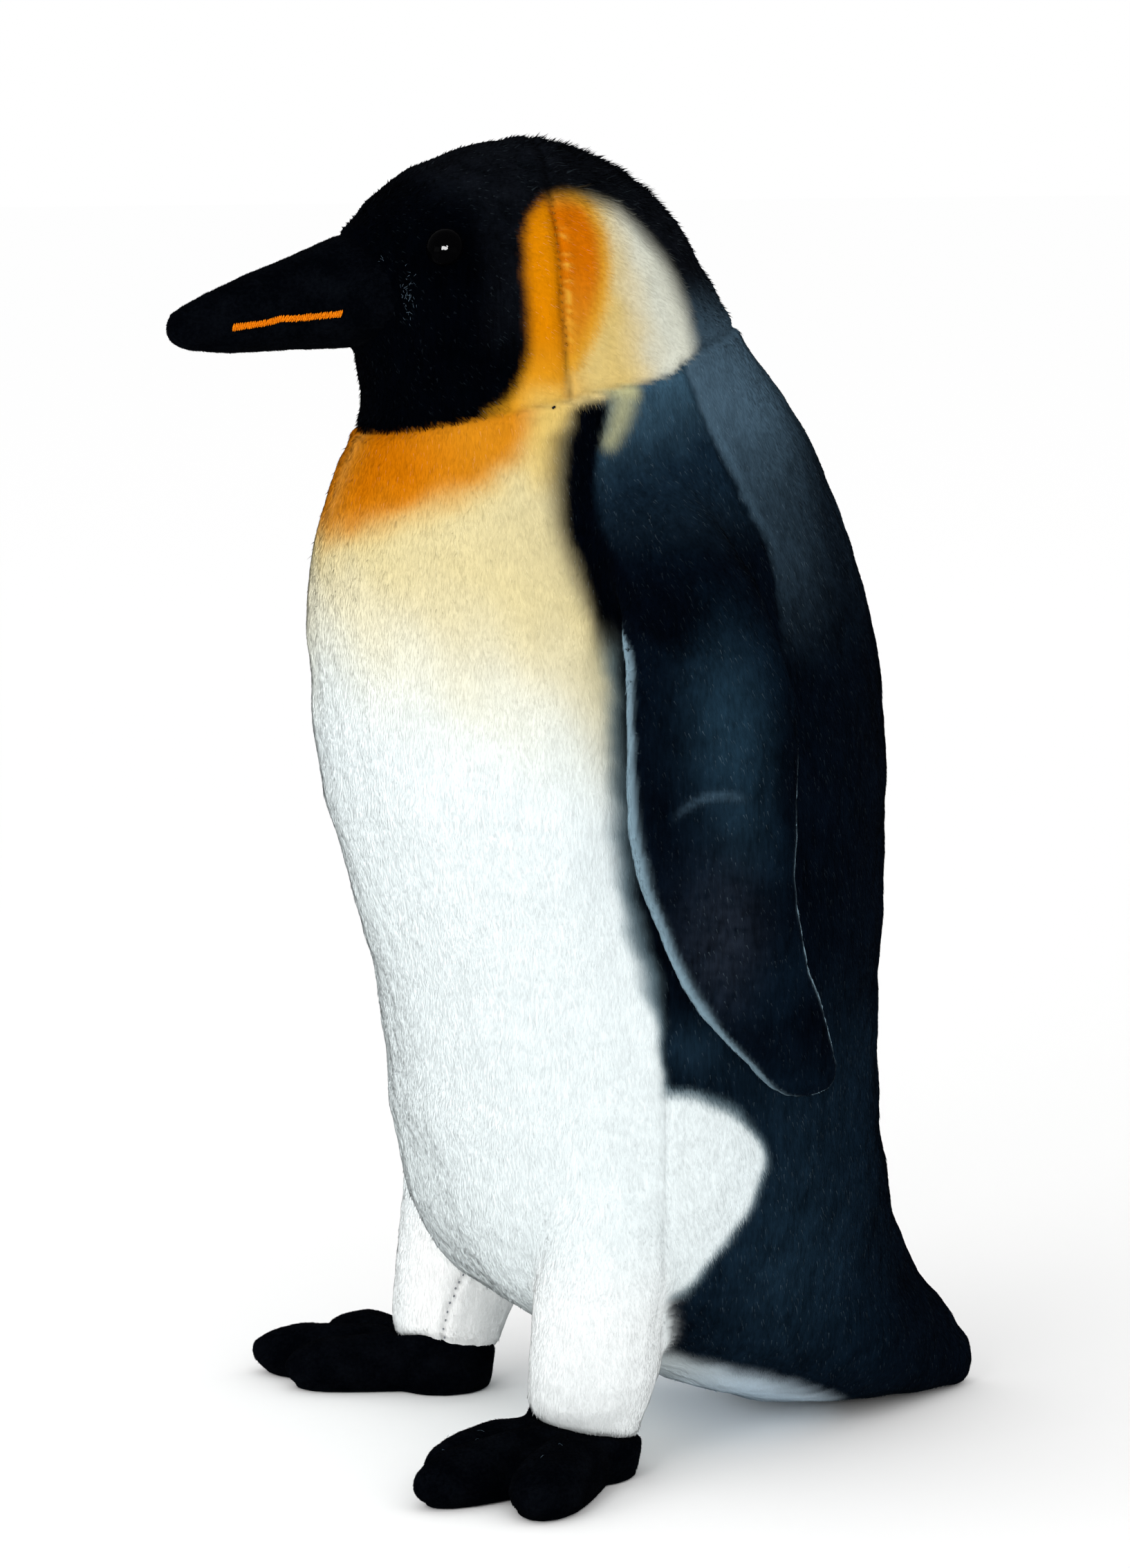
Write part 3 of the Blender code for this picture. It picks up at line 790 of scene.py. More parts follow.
# a cream lick beside the shoulder bar, then the bar with a yellow halo in front of it
bar = {
    "lick": [(-6.0, 333), (-6.2, 325), (-6.4, 320.6), (-8.2, 316), (-10.4, 312.0), (-11.6, 310.6)],
    "lickWide": ([307, 312, 316, 322, 330], [1.2, 1.7, 2.2, 3.0, 3.6]),
    "middle": ([250, 262, 272, 282.5, 289.7, 300.3, 310.7, 320.8],
               [-14.0, -17.0, -19.4, -21.4, -21.8, -21.0, -18.6, -15.4]),
    "foreSoft": ([262, 282, 300, 312, 316, 321], [-11.0, -13.6, -14.2, -15.3, -11.4, -10.0]),
    "foreFull": ([262, 282, 300, 312, 316, 321], [-3.0, -3.7, -3.4, -3.2, -3.0, -3.6]),
    "rearFull": ([292, 300, 310, 320], [1.6, 2.6, 3.0, 3.0]), "rearSoft": 2.8,
}
lickEdge = np.interp(z, *bar["lickWide"]) - alongLine(y, z, bar["lick"])
spray("hook", 0.66 * smooth(-4.0, 2.8, lickEdge + 0.5 * wander))
spray("hook", 0.85 * smooth(320.5, 324.5, z + 0.25 * y) * (1 - smooth(-5, 1, y)) * smooth(-27, -20, y))
across = y - np.interp(z, *bar["middle"]) + 0.5 * wander
foreSoft, foreFull, rearFull = (np.interp(z, *bar[name]) for name in ("foreSoft", "foreFull", "rearFull"))
barShare = (smooth(0, 1, (across - foreSoft) / (foreFull - foreSoft))
            * (1 - smooth(0, 1, (across - rearFull) / bar["rearSoft"]))
            * (1 - smooth(320.4, 324.6, z + 0.035 * across ** 2)) * smooth(246, 262, z))
spray("yellow", 0.6 * smooth(-19.5, -12.5, across) * (1 - smooth(-9, -5, across)) * smooth(292, 304, z)
      * (1 - smooth(318, 324, z)))
spray("black", barShare)

# the legs, lightened with painted light where they lie in shade, and the underside
spray("white", lowLeg)
spray("paintedLegLight", legShare * (1 - smooth(45, 80, z)))
spray("paintedInnerLegLight", legShare * (1 - smooth(50, 90, z)) * (1 - smooth(40, 56, sideways)))  # painted light on the inner sides, which lie in shade
spray("underside", 0.55 * smooth(-0.1, 0.75, -upward) * smooth(2, 40, y) * (1 - dark))

# the head: black hood, a soft grey nape, ear patches
ear = {  # outlines are (back, up) in mm
    "patch": [(-60, 300), (-45.0, 319.1), (-40.4, 322.1), (-36.8, 327.9), (-35.2, 332.5), (-35.4, 339.4),
              (-36.0, 348.7), (-36.4, 360.1), (-35.4, 371.5), (-31.9, 377.8), (-26.9, 380.6), (-22.4, 382.6),
              (-16, 383.2), (-9.3, 381.4), (-1.7, 378.6), (4.4, 372.4), (11.9, 361.7), (16.4, 350), (19.4, 338.3),
              (21.5, 333), (23, 300)],
    "softness": ([-30, -15, 0, 15], [2.6, 3.6, 4.4, 4.8]), "seam": -24.6,
    "lobe": [(-28, 388), (-17.5, 384.5), (-13.0, 379), (-11.6, 371), (-11.6, 362), (-13.8, 353), (-17.2, 344),
             (-22, 336), (-28, 330)],
}
patch = inside(y, z, ear["patch"]) + 0.35 * wander - 1.9 * smooth(330, 342, z) * (1 - smooth(-34, -25, y))
bodyDye = dye.copy()
spray("hood", np.ones(len(place)))
spray("crown", np.clip(0.75 * smooth(-62, -48, y) * smooth(376, 390, z)
                       + 0.6 * smooth(-50, -41, y) * smooth(332, 348, z), 0, 0.8))
spray("crown", smooth(-20.5, -18.5, y - 0.25 * (398 - z)) * (0.6 + 0.3 * drift(at, 12.0, 24)))
spray("slate", 0.62 * smooth(6, 24, y) * (1 - smooth(338, 360, z)) * (1 - 0.7 * smooth(34, 60, y)))
hoodDye = dye.copy()
spray("earPale", np.ones(len(place)))
spray("earCream", (1 - smooth(-11, 9, y + 0.15 * (z - 350) + 1.5 * drift(at, 12.0, 21))))
lobe = inside(y, z, ear["lobe"]) + 0.4 * wander
spray("earGold", 0.95 * smooth(-6.6, -0.8, lobe))
spray("earDeep", smooth(-3.0, 2.6, lobe - 0.4) * (1 - 0.7 * smooth(377, 384, z + 0.5 * wander))
      * (0.45 + 0.55 * smooth(336, 366, z)))
# painted highlight: gold and a little yellow on the tops of the puckers behind the ear seam
spray("earGold", 0.9 * pucker)
spray("yellow", 0.16 * pucker)
front = smooth(-1.0, 1.0, ear["seam"] - y + 0.3 * drift(at, 5.0, 22))
spray("earOrange", front)
spray("earGold", front * (1 - smooth(322, 346, z)) * 0.85)
spray("earGold", (1 - front) * (1 - smooth(326, 345, z)) * (1 - smooth(-24, -14, y)) * 0.5)
spray("yellow", 0.75 * front * (1 - smooth(322, 331, z)) * smooth(-40, -30, y))
cheek = smooth(-1, 1, patch / np.interp(y, *ear["softness"]))[:, None]
dye = hoodDye * (1 - cheek) + dye * cheek
dye = bodyDye + (dye - bodyDye) * headShare[:, None]

# the flippers: navy outside with a painted sheen, pale lining, brown cast low down, and painted shade where they are
# caught to the body
spray("deepNavy", flipperShare)
spray("navy", flipperShare * np.clip(0.25 + 0.35 * drift(at, 30.0, 23), 0, 1) * smooth(-12, 0, y))
# painted sheen: a lighter blue where the flipper's pile catches the light
spray("sheen", flipperShare * np.clip(0.95 * haze(7, 230, 12, 24) + 0.35 * haze(10, 198, 9, 12), 0, 1))
spray("brown", flipperShare * np.clip(0.80 + 0.45 * drift(at, 2.6, 58), 0, 1) * haze(4, 168, 11, 20))
spray("black", flipperShare * 0.6 * smooth(18, 30, y) * smooth(150, 190, z))
# painted shade: black where the flipper is caught to the body, below the shoulder bar
spray("black", 0.8 * (smooth(17, 4, np.hypot((y + 9) * 0.8, z - 263)) * (sideways > 52) * (outward > 0.05)))
spray("slate", 0.38 * arc)
spray("lining", panel * (0.20 + 0.80 * smooth(118, 146, z + 0.5 * y)))
dye = dye * (1 - 0.30 * seamGrooveShade)[:, None]  # painted shade: the cloth is darkened in the hollow along each seam
report("dyes")


# how the coat lies

coatSize = {
    "perSquareMetre": 1.30e6, "length": 1.8 * mm, "width": 0.40 * mm, "rise": math.radians(6),
    "swirl": math.radians(13), "bakePatch": 0.003, "lengthLimits": (0.34, 2.2),
    "comb": {"body": (0.0, 0.22, -1.0), "head": (0.0, 0.85, -0.55), "flipper": (0.0, 0.30, -1.0)},
    "bareRoundEyes": 7.0 * mm,
}
comb = np.tile(np.array(coatSize["comb"]["body"]), (len(place), 1))
comb[head], comb[flipper] = coatSize["comb"]["head"], coatSize["comb"]["flipper"]
comb[:, 0] += 0.10 * drift(at, 22.0, 31)
comb[:, 1] += 0.10 * drift(at, 19.0, 32)
lie = lyingOn(comb, normal)
crown = head * smooth(372, 384, z) * smooth(-26, -8, y)
byNeck = 1 - smooth(1.5, 5.0, z - neckLine)
overHood = head * byNeck * (y < -40)
lengthen = 1 - 0.25 * legs - 0.62 * head * byNeck * (y > -40)  # short on the legs and under the ears
lengthen = lengthen - 0.66 * flipper * bell(rimEdge + 0.10 - outward, 0.42)  # and at the flippers' rims
lengthen = lengthen - (0.40 * bell(z - 48, 13.0) * smooth(-14, -4, y) * (1 - smooth(12, 20, y))
                       * smooth(54, 62, sideways))
lengthen = lengthen + 0.14 * drift(at, 5.0, 33) + 0.75 * crown + 0.65 * overHood
lengthen = lengthen - 0.25 * head * (y < -30) * (1 - overHood)  # and on the face
raised = (math.radians(3) * drift(at, 6.0, 34) + math.radians(16) * crown * (0.5 + 0.5 * drift(at, 7.0, 35))
          + math.radians(4) * overHood)
thick = np.ones(len(place))
for gap in eyeGaps():
    thick[gap < coatSize["bareRoundEyes"]] = 0.0
aboveHem = z - hemHeight(x, y)
thick[onBill | ((z < 2.0) & (normal[:, 2] < -0.3)) | (legs & (aboveHem < -0.5))] = 0.0
thick *= 1 - 0.6 * np.minimum(seamGrooveShade, 1)
thick *= 1 - 0.85 * flipper * (z < 262) * bell(outward - rimEdge - 0.07, 0.12)  # clipped along the lining's seam
onCrown = smooth(-36, -24, y) * (1 - smooth(14, 30, y)) * smooth(350, 380, z)
strayOnHead = (head * (np.clip(patch, -99, 0) < -3)
               * (0.40 + 0.5 * onCrown + 0.35 * smooth(-60, -70, y) * smooth(362, 370, z) + 0.6 * overHood)
               * (0.5 + 0.5 * drift(at, 9.0, 61)))
stray = np.clip(thick * (strayOnHead + 0.8 * (legs * bell(aboveHem - 1.5, 1.6)) + 0.04 * ~(head | legs)), 0, 1)

# an unwrap of the skin's own shape for the baked colours: round the body, a ball for the head, two sides of a flipper
rootU, rootV = np.arctan2(x, -(y - 12.0)) / (2 * math.pi) + 0.5, z / 400.0
fromHead = at - np.array([0.0, -18.0, 348.0])
ball = fromHead / np.linalg.norm(fromHead, axis=1)[:, None]
rootU[head] = (np.arctan2(ball[:, 0], -ball[:, 1]) / (2 * math.pi) + 0.5)[head]
rootV[head] = (np.arcsin(np.clip(ball[:, 2], -1, 1)) / math.pi + 0.5)[head]
rootU[flipper] = (np.where(outward > 0, 0.05, 0.55) + 0.40 * (y + 30.0) / 90.0)[flipper]
rootV[flipper] = ((z - 110.0) / 200.0)[flipper]
rootUv = np.column_stack([np.clip(rootU, 0.01, 0.985), np.clip(rootV, 0.01, 0.985), np.zeros(len(place))])

# the coat's pieces: five levels in front, five behind, the head and each flipper
coatPieces = {
    0: ("pileShins", "plush_white"), 1: ("pileBelly", "plush_white"), 2: ("pileWaist", "plush_white"),
    3: ("pileChest", "plush_white"), 4: ("pileBreast", "plush_white"), 5: ("pileRump", "plush_navy"),
    6: ("pileLowBack", "plush_navy"), 7: ("pileMidBack", "plush_navy"), 8: ("pileHighBack", "plush_navy"),
    9: ("pileShoulders", "plush_navy"), 10: ("pileHead", "plush_black"), 11: ("pileFlipperLeft", "plush_navy"),
    12: ("pileFlipperRight", "plush_navy"),
}
corners = np.empty(len(skin.data.loops), int)
skin.data.loops.foreach_get("vertex_index", corners)
starts = np.empty(len(skin.data.polygons), int)
skin.data.polygons.foreach_get("loop_start", starts)
corner = corners[starts]
isBack = y[corner] > np.interp(z[corner], [0, 60, 120, 200, 300], [40, 12, 5, -3, -10])
region = np.where(isBack, 5, 0) + np.digitize(z[corner], [78, 145, 205, 262])
region[head[corner]] = 10
region[flipper[corner] & (x[corner] > 0)] = 11
region[flipper[corner] & (x[corner] < 0)] = 12
store(skin.data, "dye", "FLOAT_COLOR", np.column_stack([dye, np.ones(len(dye))]))
lengthen = np.clip(lengthen, *coatSize["lengthLimits"])
storeCoat(skin.data, {"lie": lie, "rootNormal": normal, "rootUv": rootUv},
          {"thick": thick, "stray": stray, "lengthen": lengthen, "raised": raised}, region)


# trees that grow the pile and sew the thread

def newTree(name, inputs, result):
    tree = bpy.data.node_groups.new(name, "GeometryNodeTree")
    tree.interface.new_socket("Base", in_out="INPUT", socket_type="NodeSocketGeometry")
    sockets = {}
    for label, value in inputs.items():
        kind = "NodeSocketInt" if isinstance(value, int) else "NodeSocketFloat"
        made = tree.interface.new_socket(label, in_out="INPUT", socket_type=kind)
        made.default_value = value
        sockets[label] = made.identifier
    tree.interface.new_socket(result, in_out="OUTPUT", socket_type="NodeSocketGeometry")
    board = Board(tree)
    entry = tree.nodes.new("NodeGroupInput")
    given = {socket.name: Wire(board, socket) for socket in entry.outputs if socket.name}
    return tree, board, given, sockets


def named(board, name, kind="FLOAT"):
    return board.node("GeometryNodeInputNamedAttribute", {"data_type": kind}, {"Name": name})


def random(board, low, high, seed):
    return board.node("FunctionNodeRandomValue", {"data_type": "FLOAT"}, {2: low, 3: high, 8: seed}, out=1)


def keep(board, geometry, name, kind, domain, value):
    return board.node("GeometryNodeStoreNamedAttribute", {"data_type": kind, "domain": domain},
                      {"Geometry": geometry, "Name": name, "Value": value})


def turned(board, vector, axis, angle):
    return board.node("ShaderNodeVectorRotate", {"rotation_type": "AXIS_ANGLE"},
                      {"Vector": vector, "Axis": axis, "Angle": angle})


def placed(board, points, item, way, up, size):  # items on the points, each pointing its own way
    turn = board.node("FunctionNodeAxesToRotation", {"primary_axis": "Z", "secondary_axis": "Y"}, {0: way, 1: up})
    return board.node("GeometryNodeInstanceOnPoints", None,
                      {"Points": points, "Instance": item, "Rotation": turn, "Scale": size})


def finishTree(board, geometry, material):
    real = board.node("GeometryNodeRealizeInstances", None, {"Geometry": geometry})
    dressed = board.node("GeometryNodeSetMaterial", None, {"Geometry": real, "Material": material})
    board.node("NodeGroupOutput", None, {0: dressed})


def pileTree(name, material, cover="thick"):
    tree, board, given, sockets = newTree(name, {
        "Tufts per square metre": coatSize["perSquareMetre"], "Length": coatSize["length"],
        "Width": coatSize["width"], "Rise": coatSize["rise"], "Swirl": coatSize["swirl"],
        "Bake patch": coatSize["bakePatch"], "Region": 0, "Seed": 1,
    }, "Pile")
    chosen = board.node("FunctionNodeCompare", {"data_type": "INT", "operation": "EQUAL"},
                        {2: named(board, "region", "INT"), 3: given["Region"]})
    scatter = board.node("GeometryNodeDistributePointsOnFaces", {"distribute_method": "RANDOM"},
                         {"Mesh": given["Base"], "Selection": chosen, "Seed": given["Seed"],
                          "Density": given["Tufts per square metre"] * named(board, cover)})
    marked = keep(board, scatter, "shade", "FLOAT", "POINT", random(board, 0.0, 1.0, 5))
    up = named(board, "rootNormal", "FLOAT_VECTOR")
    swirled = turned(board, named(board, "lie", "FLOAT_VECTOR"), up, given["Swirl"] * random(board, -1.0, 1.0, 6))
    rise = given["Rise"] * random(board, 0.5, 1.6, 7) + named(board, "raised")
    way = board.vector("ADD", board.vector("SCALE", swirled, board.maths("COSINE", rise)),
                       board.vector("SCALE", up, board.maths("SINE", rise)))
    wide = given["Width"] * random(board, 0.7, 1.3, 8)
    long = given["Length"] * named(board, "lengthen") * random(board, 0.65, 1.3, 9)
    size = board.node("ShaderNodeCombineXYZ", None, {0: wide, 1: wide * 0.6, 2: long})
    spike = board.node("GeometryNodeMeshCone", {"fill_type": "NGON"},
                       {"Vertices": 3, "Side Segments": 1, "Fill Segments": 1,
                        "Radius Top": 0.0, "Radius Bottom": 0.5, "Depth": 1.0})
    across, deep, high = board.parts(board.node("GeometryNodeInputPosition"))
    leaf = board.node("ShaderNodeCombineXYZ", None, {0: across + deep * 0.4, 1: high})
    leaf = board.vector("SCALE", leaf, given["Bake patch"] * 0.9)
    spike = keep(board, spike, "along", "FLOAT", "POINT", high)
    spike = keep(board, spike, "leaf", "FLOAT_VECTOR", "POINT", leaf)
    # sunk a little at the root, with one flat side up
    sunk = board.node("GeometryNodeTransform", None,
                      {"Geometry": spike, "Translation": (0, 0, -0.10), "Rotation": (0, 0, math.radians(30))})
    real = board.node("GeometryNodeRealizeInstances", None, {"Geometry": placed(board, marked, sunk, way, up, size)})
    px, py, pz = board.parts(board.node("GeometryNodeInputPosition"))
    aboveFloor = board.node("ShaderNodeCombineXYZ", None, {0: px, 1: py, 2: board.maths("MAXIMUM", pz, 0.0002)})
    real = board.node("GeometryNodeSetPosition", None, {"Geometry": real, "Position": aboveFloor})
    patchPlace = board.vector("ADD", named(board, "rootUv", "FLOAT_VECTOR"), named(board, "leaf", "FLOAT_VECTOR"))
    finishTree(board, keep(board, real, "OFBake", "FLOAT2", "CORNER", patchPlace), material)
    return tree, sockets


def stitchTree(name, material):
    tree, board, given, sockets = newTree(
        name, {"Step": 0.003, "Across": 0.001, "Along": 0.001, "Thick": 0.0004, "Slant": 0.0, "Seed": 1}, "Thread")
    curve = board.node("GeometryNodeMeshToCurve", None, {"Mesh": given["Base"]})
    even = board.node("GeometryNodeResampleCurve", {"mode": "LENGTH"}, {"Curve": curve, "Length": given["Step"]})
    up = named(board, "up", "FLOAT_VECTOR")
    slant = given["Slant"] + random(board, -0.14, 0.14, 3)
    slanted = turned(board, board.node("GeometryNodeInputTangent"), up, slant)
    ball = board.node("GeometryNodeMeshUVSphere", None, {"Segments": 8, "Rings": 6, "Radius": 1.0})
    wide, long = given["Across"] * random(board, 0.88, 1.1, 4), given["Along"] * random(board, 0.85, 1.12, 5)
    size = board.node("ShaderNodeCombineXYZ", None, {0: wide, 1: given["Thick"], 2: long})
    finishTree(board, placed(board, even, ball, slanted, up, size), material)
    return tree, sockets


def fibreTree(name, material):
    tree, board, given, sockets = newTree(name, {"Thick": 0.0001}, "Fibres")
    curve = board.node("GeometryNodeMeshToCurve", None, {"Mesh": given["Base"]})
    ring = board.node("GeometryNodeCurvePrimitiveCircle", None, {"Resolution": 4, "Radius": given["Thick"]})
    tube = board.node("GeometryNodeCurveToMesh", None, {"Curve": curve, "Profile Curve": ring, "Fill Caps": True})
    finishTree(board, tube, material)
    return tree, sockets


def applied(obj, label, treeAndSockets, values):  # the tree's result becomes the piece's mesh
    step = obj.modifiers.new(label, "NODES")
    step.node_group, sockets = treeAndSockets
    for name, value in values.items():
        step[sockets[name]] = value
    return settle(obj)


def grow(name, base, treeAndSockets, values):
    obj = applied(link(bpy.data.objects.new(name, base.data)), "grow", treeAndSockets, values)
    for spare in ("lie", "rootUv", "thick", "stray", "lengthen", "raised", "region", "leaf"):
        held = obj.data.attributes.get(spare)
        if held:
            obj.data.attributes.remove(held)
    obj.data.shade_flat()
    return obj


def triangles(pieces):
    return [len(piece.data.polygons) for piece in pieces]


plushPile = pileTree("plushPile", materials["plushTuft"])
coat = [(grow(name, skin, plushPile, {"Region": number, "Seed": 20 + number}), slotName)
        for number, (name, slotName) in coatPieces.items()]
straySize = {"Tufts per square metre": 6.0e5, "Length": 1.9 * mm, "Width": 0.62 * mm, "Rise": math.radians(27),
             "Swirl": 0.6}
headStray = {**straySize, "Tufts per square metre": 1.3e6, "Width": 0.72 * mm, "Rise": math.radians(26)}
strayTufts = pileTree("strayTufts", materials["plushTuft"], "stray")
for number, name, own in ((10, "strayHead", headStray), (0, "strayShins", straySize), (4, "strayBreast", straySize)):
    piece = grow(name, skin, strayTufts, {**own, "Region": number, "Seed": 90 + number})
    coat.append((piece, coatPieces[number][1]))
counts = triangles(piece for piece, slotName in coat)
report("coat of %d triangles, the most in one piece %d" % (sum(counts), max(counts)))
dress(skin, materials["plushSkin"])


# velvet bill and feet

velvetSize = {
    "voxel": 0.95 * mm, "depth": 0.35 * mm, "toeDepth": 1.1, "toeWidth": 2.2, "toesFrom": (58.5, -23.5),
    "nap": {"Tufts per square metre": 2.2e6, "Length": 0.85 * mm, "Width": 0.22 * mm, "Swirl": 0.8},
}
velvetPieces = {  # piece: (solid, fill, lump in mm, rounds of smoothing, side, turn of the toes in degrees)
    "billVelvet": ("bill", 0.9, 0.15, 4, 0, 0),
    "footVelvetLeft": ("foot_left", 0.6, 0.3, 14, 1, 0),
    "footVelvetRight": ("foot_right", 0.6, 0.3, 14, -1, 23),
}


def toeGaps(side, turn):
    (across, along), lines = velvetSize["toesFrom"], []
    for degrees in (6.0, 34.5):
        a = math.radians(degrees + turn)
        lines.append([(side * (across + r * math.sin(a)), along - r * math.cos(a)) for r in np.linspace(21, 62, 42)])
    return lines


def velvetPiece(name, node, lump, smoothing, side, turn):
    piece = remesh(pieceFrom(name, nodeCopy(node)), velvetSize["voxel"], smoothing)
    spot, out = meshArrays(piece.data)
    here = local(spot)
    rise = -velvetSize["depth"] / mm + lump * drift(here, 14.0, 51) + 0.12 * drift(here, 4.0, 52)
    for line in toeGaps(side, turn) if side else ():
        gap = np.min([np.linalg.norm(here[:, :2] - p, axis=1) for p in line], axis=0)
        rise -= velvetSize["toeDepth"] * bell(gap, velvetSize["toeWidth"]) * smooth(0.0, 0.5, out[:, 2])
    spot = spot + out * (np.where(here[:, 2] < 0.8, 0.0, rise) * mm)[:, None]
    hx, hy, hz = here.T
    if side:
        ankle = np.hypot(np.abs(hx) - hem["middle"][0], (hy - hem["middle"][1]) * 0.65)
        spot[:, 2] += innerRise(hx, hy) * mm * (1 - smooth(25, 33, ankle)) * smooth(3, 8, hz)
    spot[:, 2] = np.maximum(spot[:, 2], 0.0)
    setPlaces(piece.data, spot)
    spot, out = meshArrays(piece.data)
    here = local(spot)
    hx, hy, hz = here.T
    cx, cy, cz = (here.min(axis=0) + here.max(axis=0)) / 2
    if side:  # round the foot and up it
        comb, bearing = (0.0, -0.8, -0.6), np.arctan2(hx - cx, -(hy - cy))
        run = hz / 60.0 + np.hypot(hx - cx, hy - cy) / 90.0
    else:  # round the bill and along it
        comb, bearing = (0.0, 1.0, -0.25), np.arctan2(hx - cx, hz - cz)
        run = (hy + 140.0) / 100.0
    rootUv = [np.clip(bearing / 6.2832 + 0.5, 0.01, 0.98), np.clip(run, 0.01, 0.98), np.zeros(len(spot))]
    lie = lyingOn(np.tile(np.array(comb), (len(spot), 1)), out)
    storeCoat(piece.data, {"lie": lie, "rootNormal": out, "rootUv": np.column_stack(rootUv)},
              {"thick": np.where((hz < 1.0) & (out[:, 2] < 0), 0.0, 1.0), "stray": np.zeros(len(spot)),
               "lengthen": 1 + 0.2 * drift(here, 4.0, 53),
               "raised": math.radians(14) + math.radians(8) * drift(here, 5.0, 54)}, np.zeros(len(piece.data.polygons)))
    dress(piece, materials["velvetSkin"])
    return piece


velvet = {name: velvetPiece(name, node, *shape) for name, (node, fill, *shape) in velvetPieces.items()}
velvetPile = pileTree("velvetNap", materials["velvetNap"])
naps = [grow(name.replace("Velvet", "Nap"), base, velvetPile, {**velvetSize["nap"], "Seed": 60 + number})
        for number, (name, base) in enumerate(velvet.items())]
report("velvet, with a nap of %d triangles" % sum(triangles(naps)))


# eyes

eyeSize = {"levels": 2}
eyes = []
for node in eyeNodes:
    bead = pieceFrom("eyeBead" + node[4:].capitalize(), nodeCopy(node))
    smoother = bead.modifiers.new("round", "SUBSURF")
    smoother.levels = smoother.render_levels = eyeSize["levels"]
    dress(settle(bead), materials["eye"])
    eyes.append((bead, node))
report("eyes")


# thread: mouth line, seam stitches, lint

def lineObject(name, lines):  # open lines as edges, with the cloth's normal on each point
    verts, edges, ups = [], [], []
    for points, normals in lines:
        start = len(verts)
        verts += [tuple(p) for p in points]
        ups += [tuple(n) for n in normals]
        edges += [(start + i, start + i + 1) for i in range(len(points) - 1)]
    mesh = bpy.data.meshes.new(name)
    mesh.from_pydata(verts, edges, [])
    store(mesh, "up", "FLOAT_VECTOR", ups)
    return link(bpy.data.objects.new(name, mesh))


def sew(name, lines, treeAndSockets, values):
    obj = applied(lineObject(name, lines), "sew", treeAndSockets, values)
    obj.data.shade_smooth()
    return obj


def bothSides(tree, points, rise):
    return [laid(tree, side, 0.5, rise) for side in (points, mirrored(points))]


mouth = [(9.3, -115.0, 344.6), (10.0, -111.0, 345.1), (10.5, -107.6, 345.5), (11.1, -104, 346.2),
         (11.6, -100.7, 347.2), (12.2, -97.3, 347.1), (13.4, -91.5, 347.5), (14.2, -87.5, 347.9), (15.1, -83.4, 348.3)]
earStitched = [p for p in earSeam if 325 <= p[2] <= 383]
knot = [(45.0, -28.35, 321.6), (45.0, -27.85, 321.8)]
billTree, skinTree = treeOf(velvet["billVelvet"].data), treeOf(skin.data)
sewn = []
# step between stitches, then each stitch's width, length, thickness, in mm, and slant
for name, slotName, thread, tree, points, rise, (step, across, along, thick, slant) in (
        ("mouthStitches", "velvet_black", "orangeMouthThread", billTree, mouth, 0.35, (0.62, 0.36, 1.22, 0.42, 1.15)),
        ("earStitches", "plush_white", "goldSeamThread", skinTree, earStitched, 0.55, (2.6, 0.24, 0.62, 0.24, 0.5)),
        ("neckKnots", "plush_black", "darkSeamThread", skinTree, knot, 0.55, (1.0, 0.40, 0.34, 0.4, 0.0)),
        ("legStitches", "plush_white", "greySeamThread", skinTree, legSeam, 0.55, (3.0, 0.30, 0.42, 0.30, 0.0))):
    stitch = {"Step": step * mm, "Across": across * mm, "Along": along * mm, "Thick": thick * mm, "Slant": slant}
    piece = sew(name, bothSides(tree, points, rise), stitchTree(name, materials[thread]), stitch)
    sewn.append((piece, slotName))

lintSize = {"thick": 0.028 * mm, "points": 7, "byBill": 46, "aboveBill": 3,
            "onFoot": ((64, -62), (58, -56), (85, -42), (70, -74), (49, -66), (92, -52))}


def strand(tree, start, length, way, curl, rise, dice):
    points, heading, here = [], Vector(way).normalized(), Vector(start)
    for _ in range(lintSize["points"]):
        points.append(tuple(here))
        heading = (heading + Vector(dice.normal(size=3)) * curl).normalized()
        here = here + heading * (length / (lintSize["points"] - 1))
    places, normals = onCloth(tree, points)
    bow = np.sin(np.linspace(0.15, 3.0, lintSize["points"]))[:, None]
    return places + normals * mm * (0.25 + rise * bow), normals


dice = np.random.default_rng(77)
lintLines = []
for side in (1, -1):
    for _ in range(lintSize["byBill"]):  # brushed white nap where the bill is sewn to the face
        spot = (side * (22.5 + dice.uniform(-0.8, 1.0)), -65.2 + dice.normal() * 1.3, 353.5 + dice.normal() * 3.6)
        lintLines.append(strand(skinTree, spot, dice.uniform(0.5, 1.5),
                                (0.1 * side, dice.uniform(-1, 1), dice.uniform(-1, 1)), 0.10, 0.12, dice))
    for _ in range(lintSize["aboveBill"]):
        spot = (side * 16.5, -71.5, 364.5 + dice.uniform(-1, 1))
        lintLines.append(strand(skinTree, spot, 1.8, (0, 1, dice.uniform(-0.5, 0.5)), 0.3, 0.4, dice))
footTree = treeOf(velvet["footVelvetLeft"].data)
for across, along in lintSize["onFoot"]:
    lintLines.append(strand(footTree, (across, along, 17), dice.uniform(1.6, 3.2),
                            (dice.uniform(-1, 1), dice.uniform(-1, 1), 0), 0.4, 0.5, dice))
lint = sew("lintFibres", lintLines, fibreTree("lintFibres", materials["whiteLint"]), {"Thick": lintSize["thick"]})
sewn.append((lint, "velvet_black"))
report("thread and lint")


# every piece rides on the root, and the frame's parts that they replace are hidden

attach(skin, "root")
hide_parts(*plushNodes)
for name, (node, fill, *shape) in velvetPieces.items():
    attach(velvet[name], "root")
    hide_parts(node)
for bead, node in eyes:
    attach(bead, "root")
    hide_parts(node)
for piece, slotName in coat + [(nap, "velvet_black") for nap in naps] + sewn:
    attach(piece, "root")


# floor, light and camera

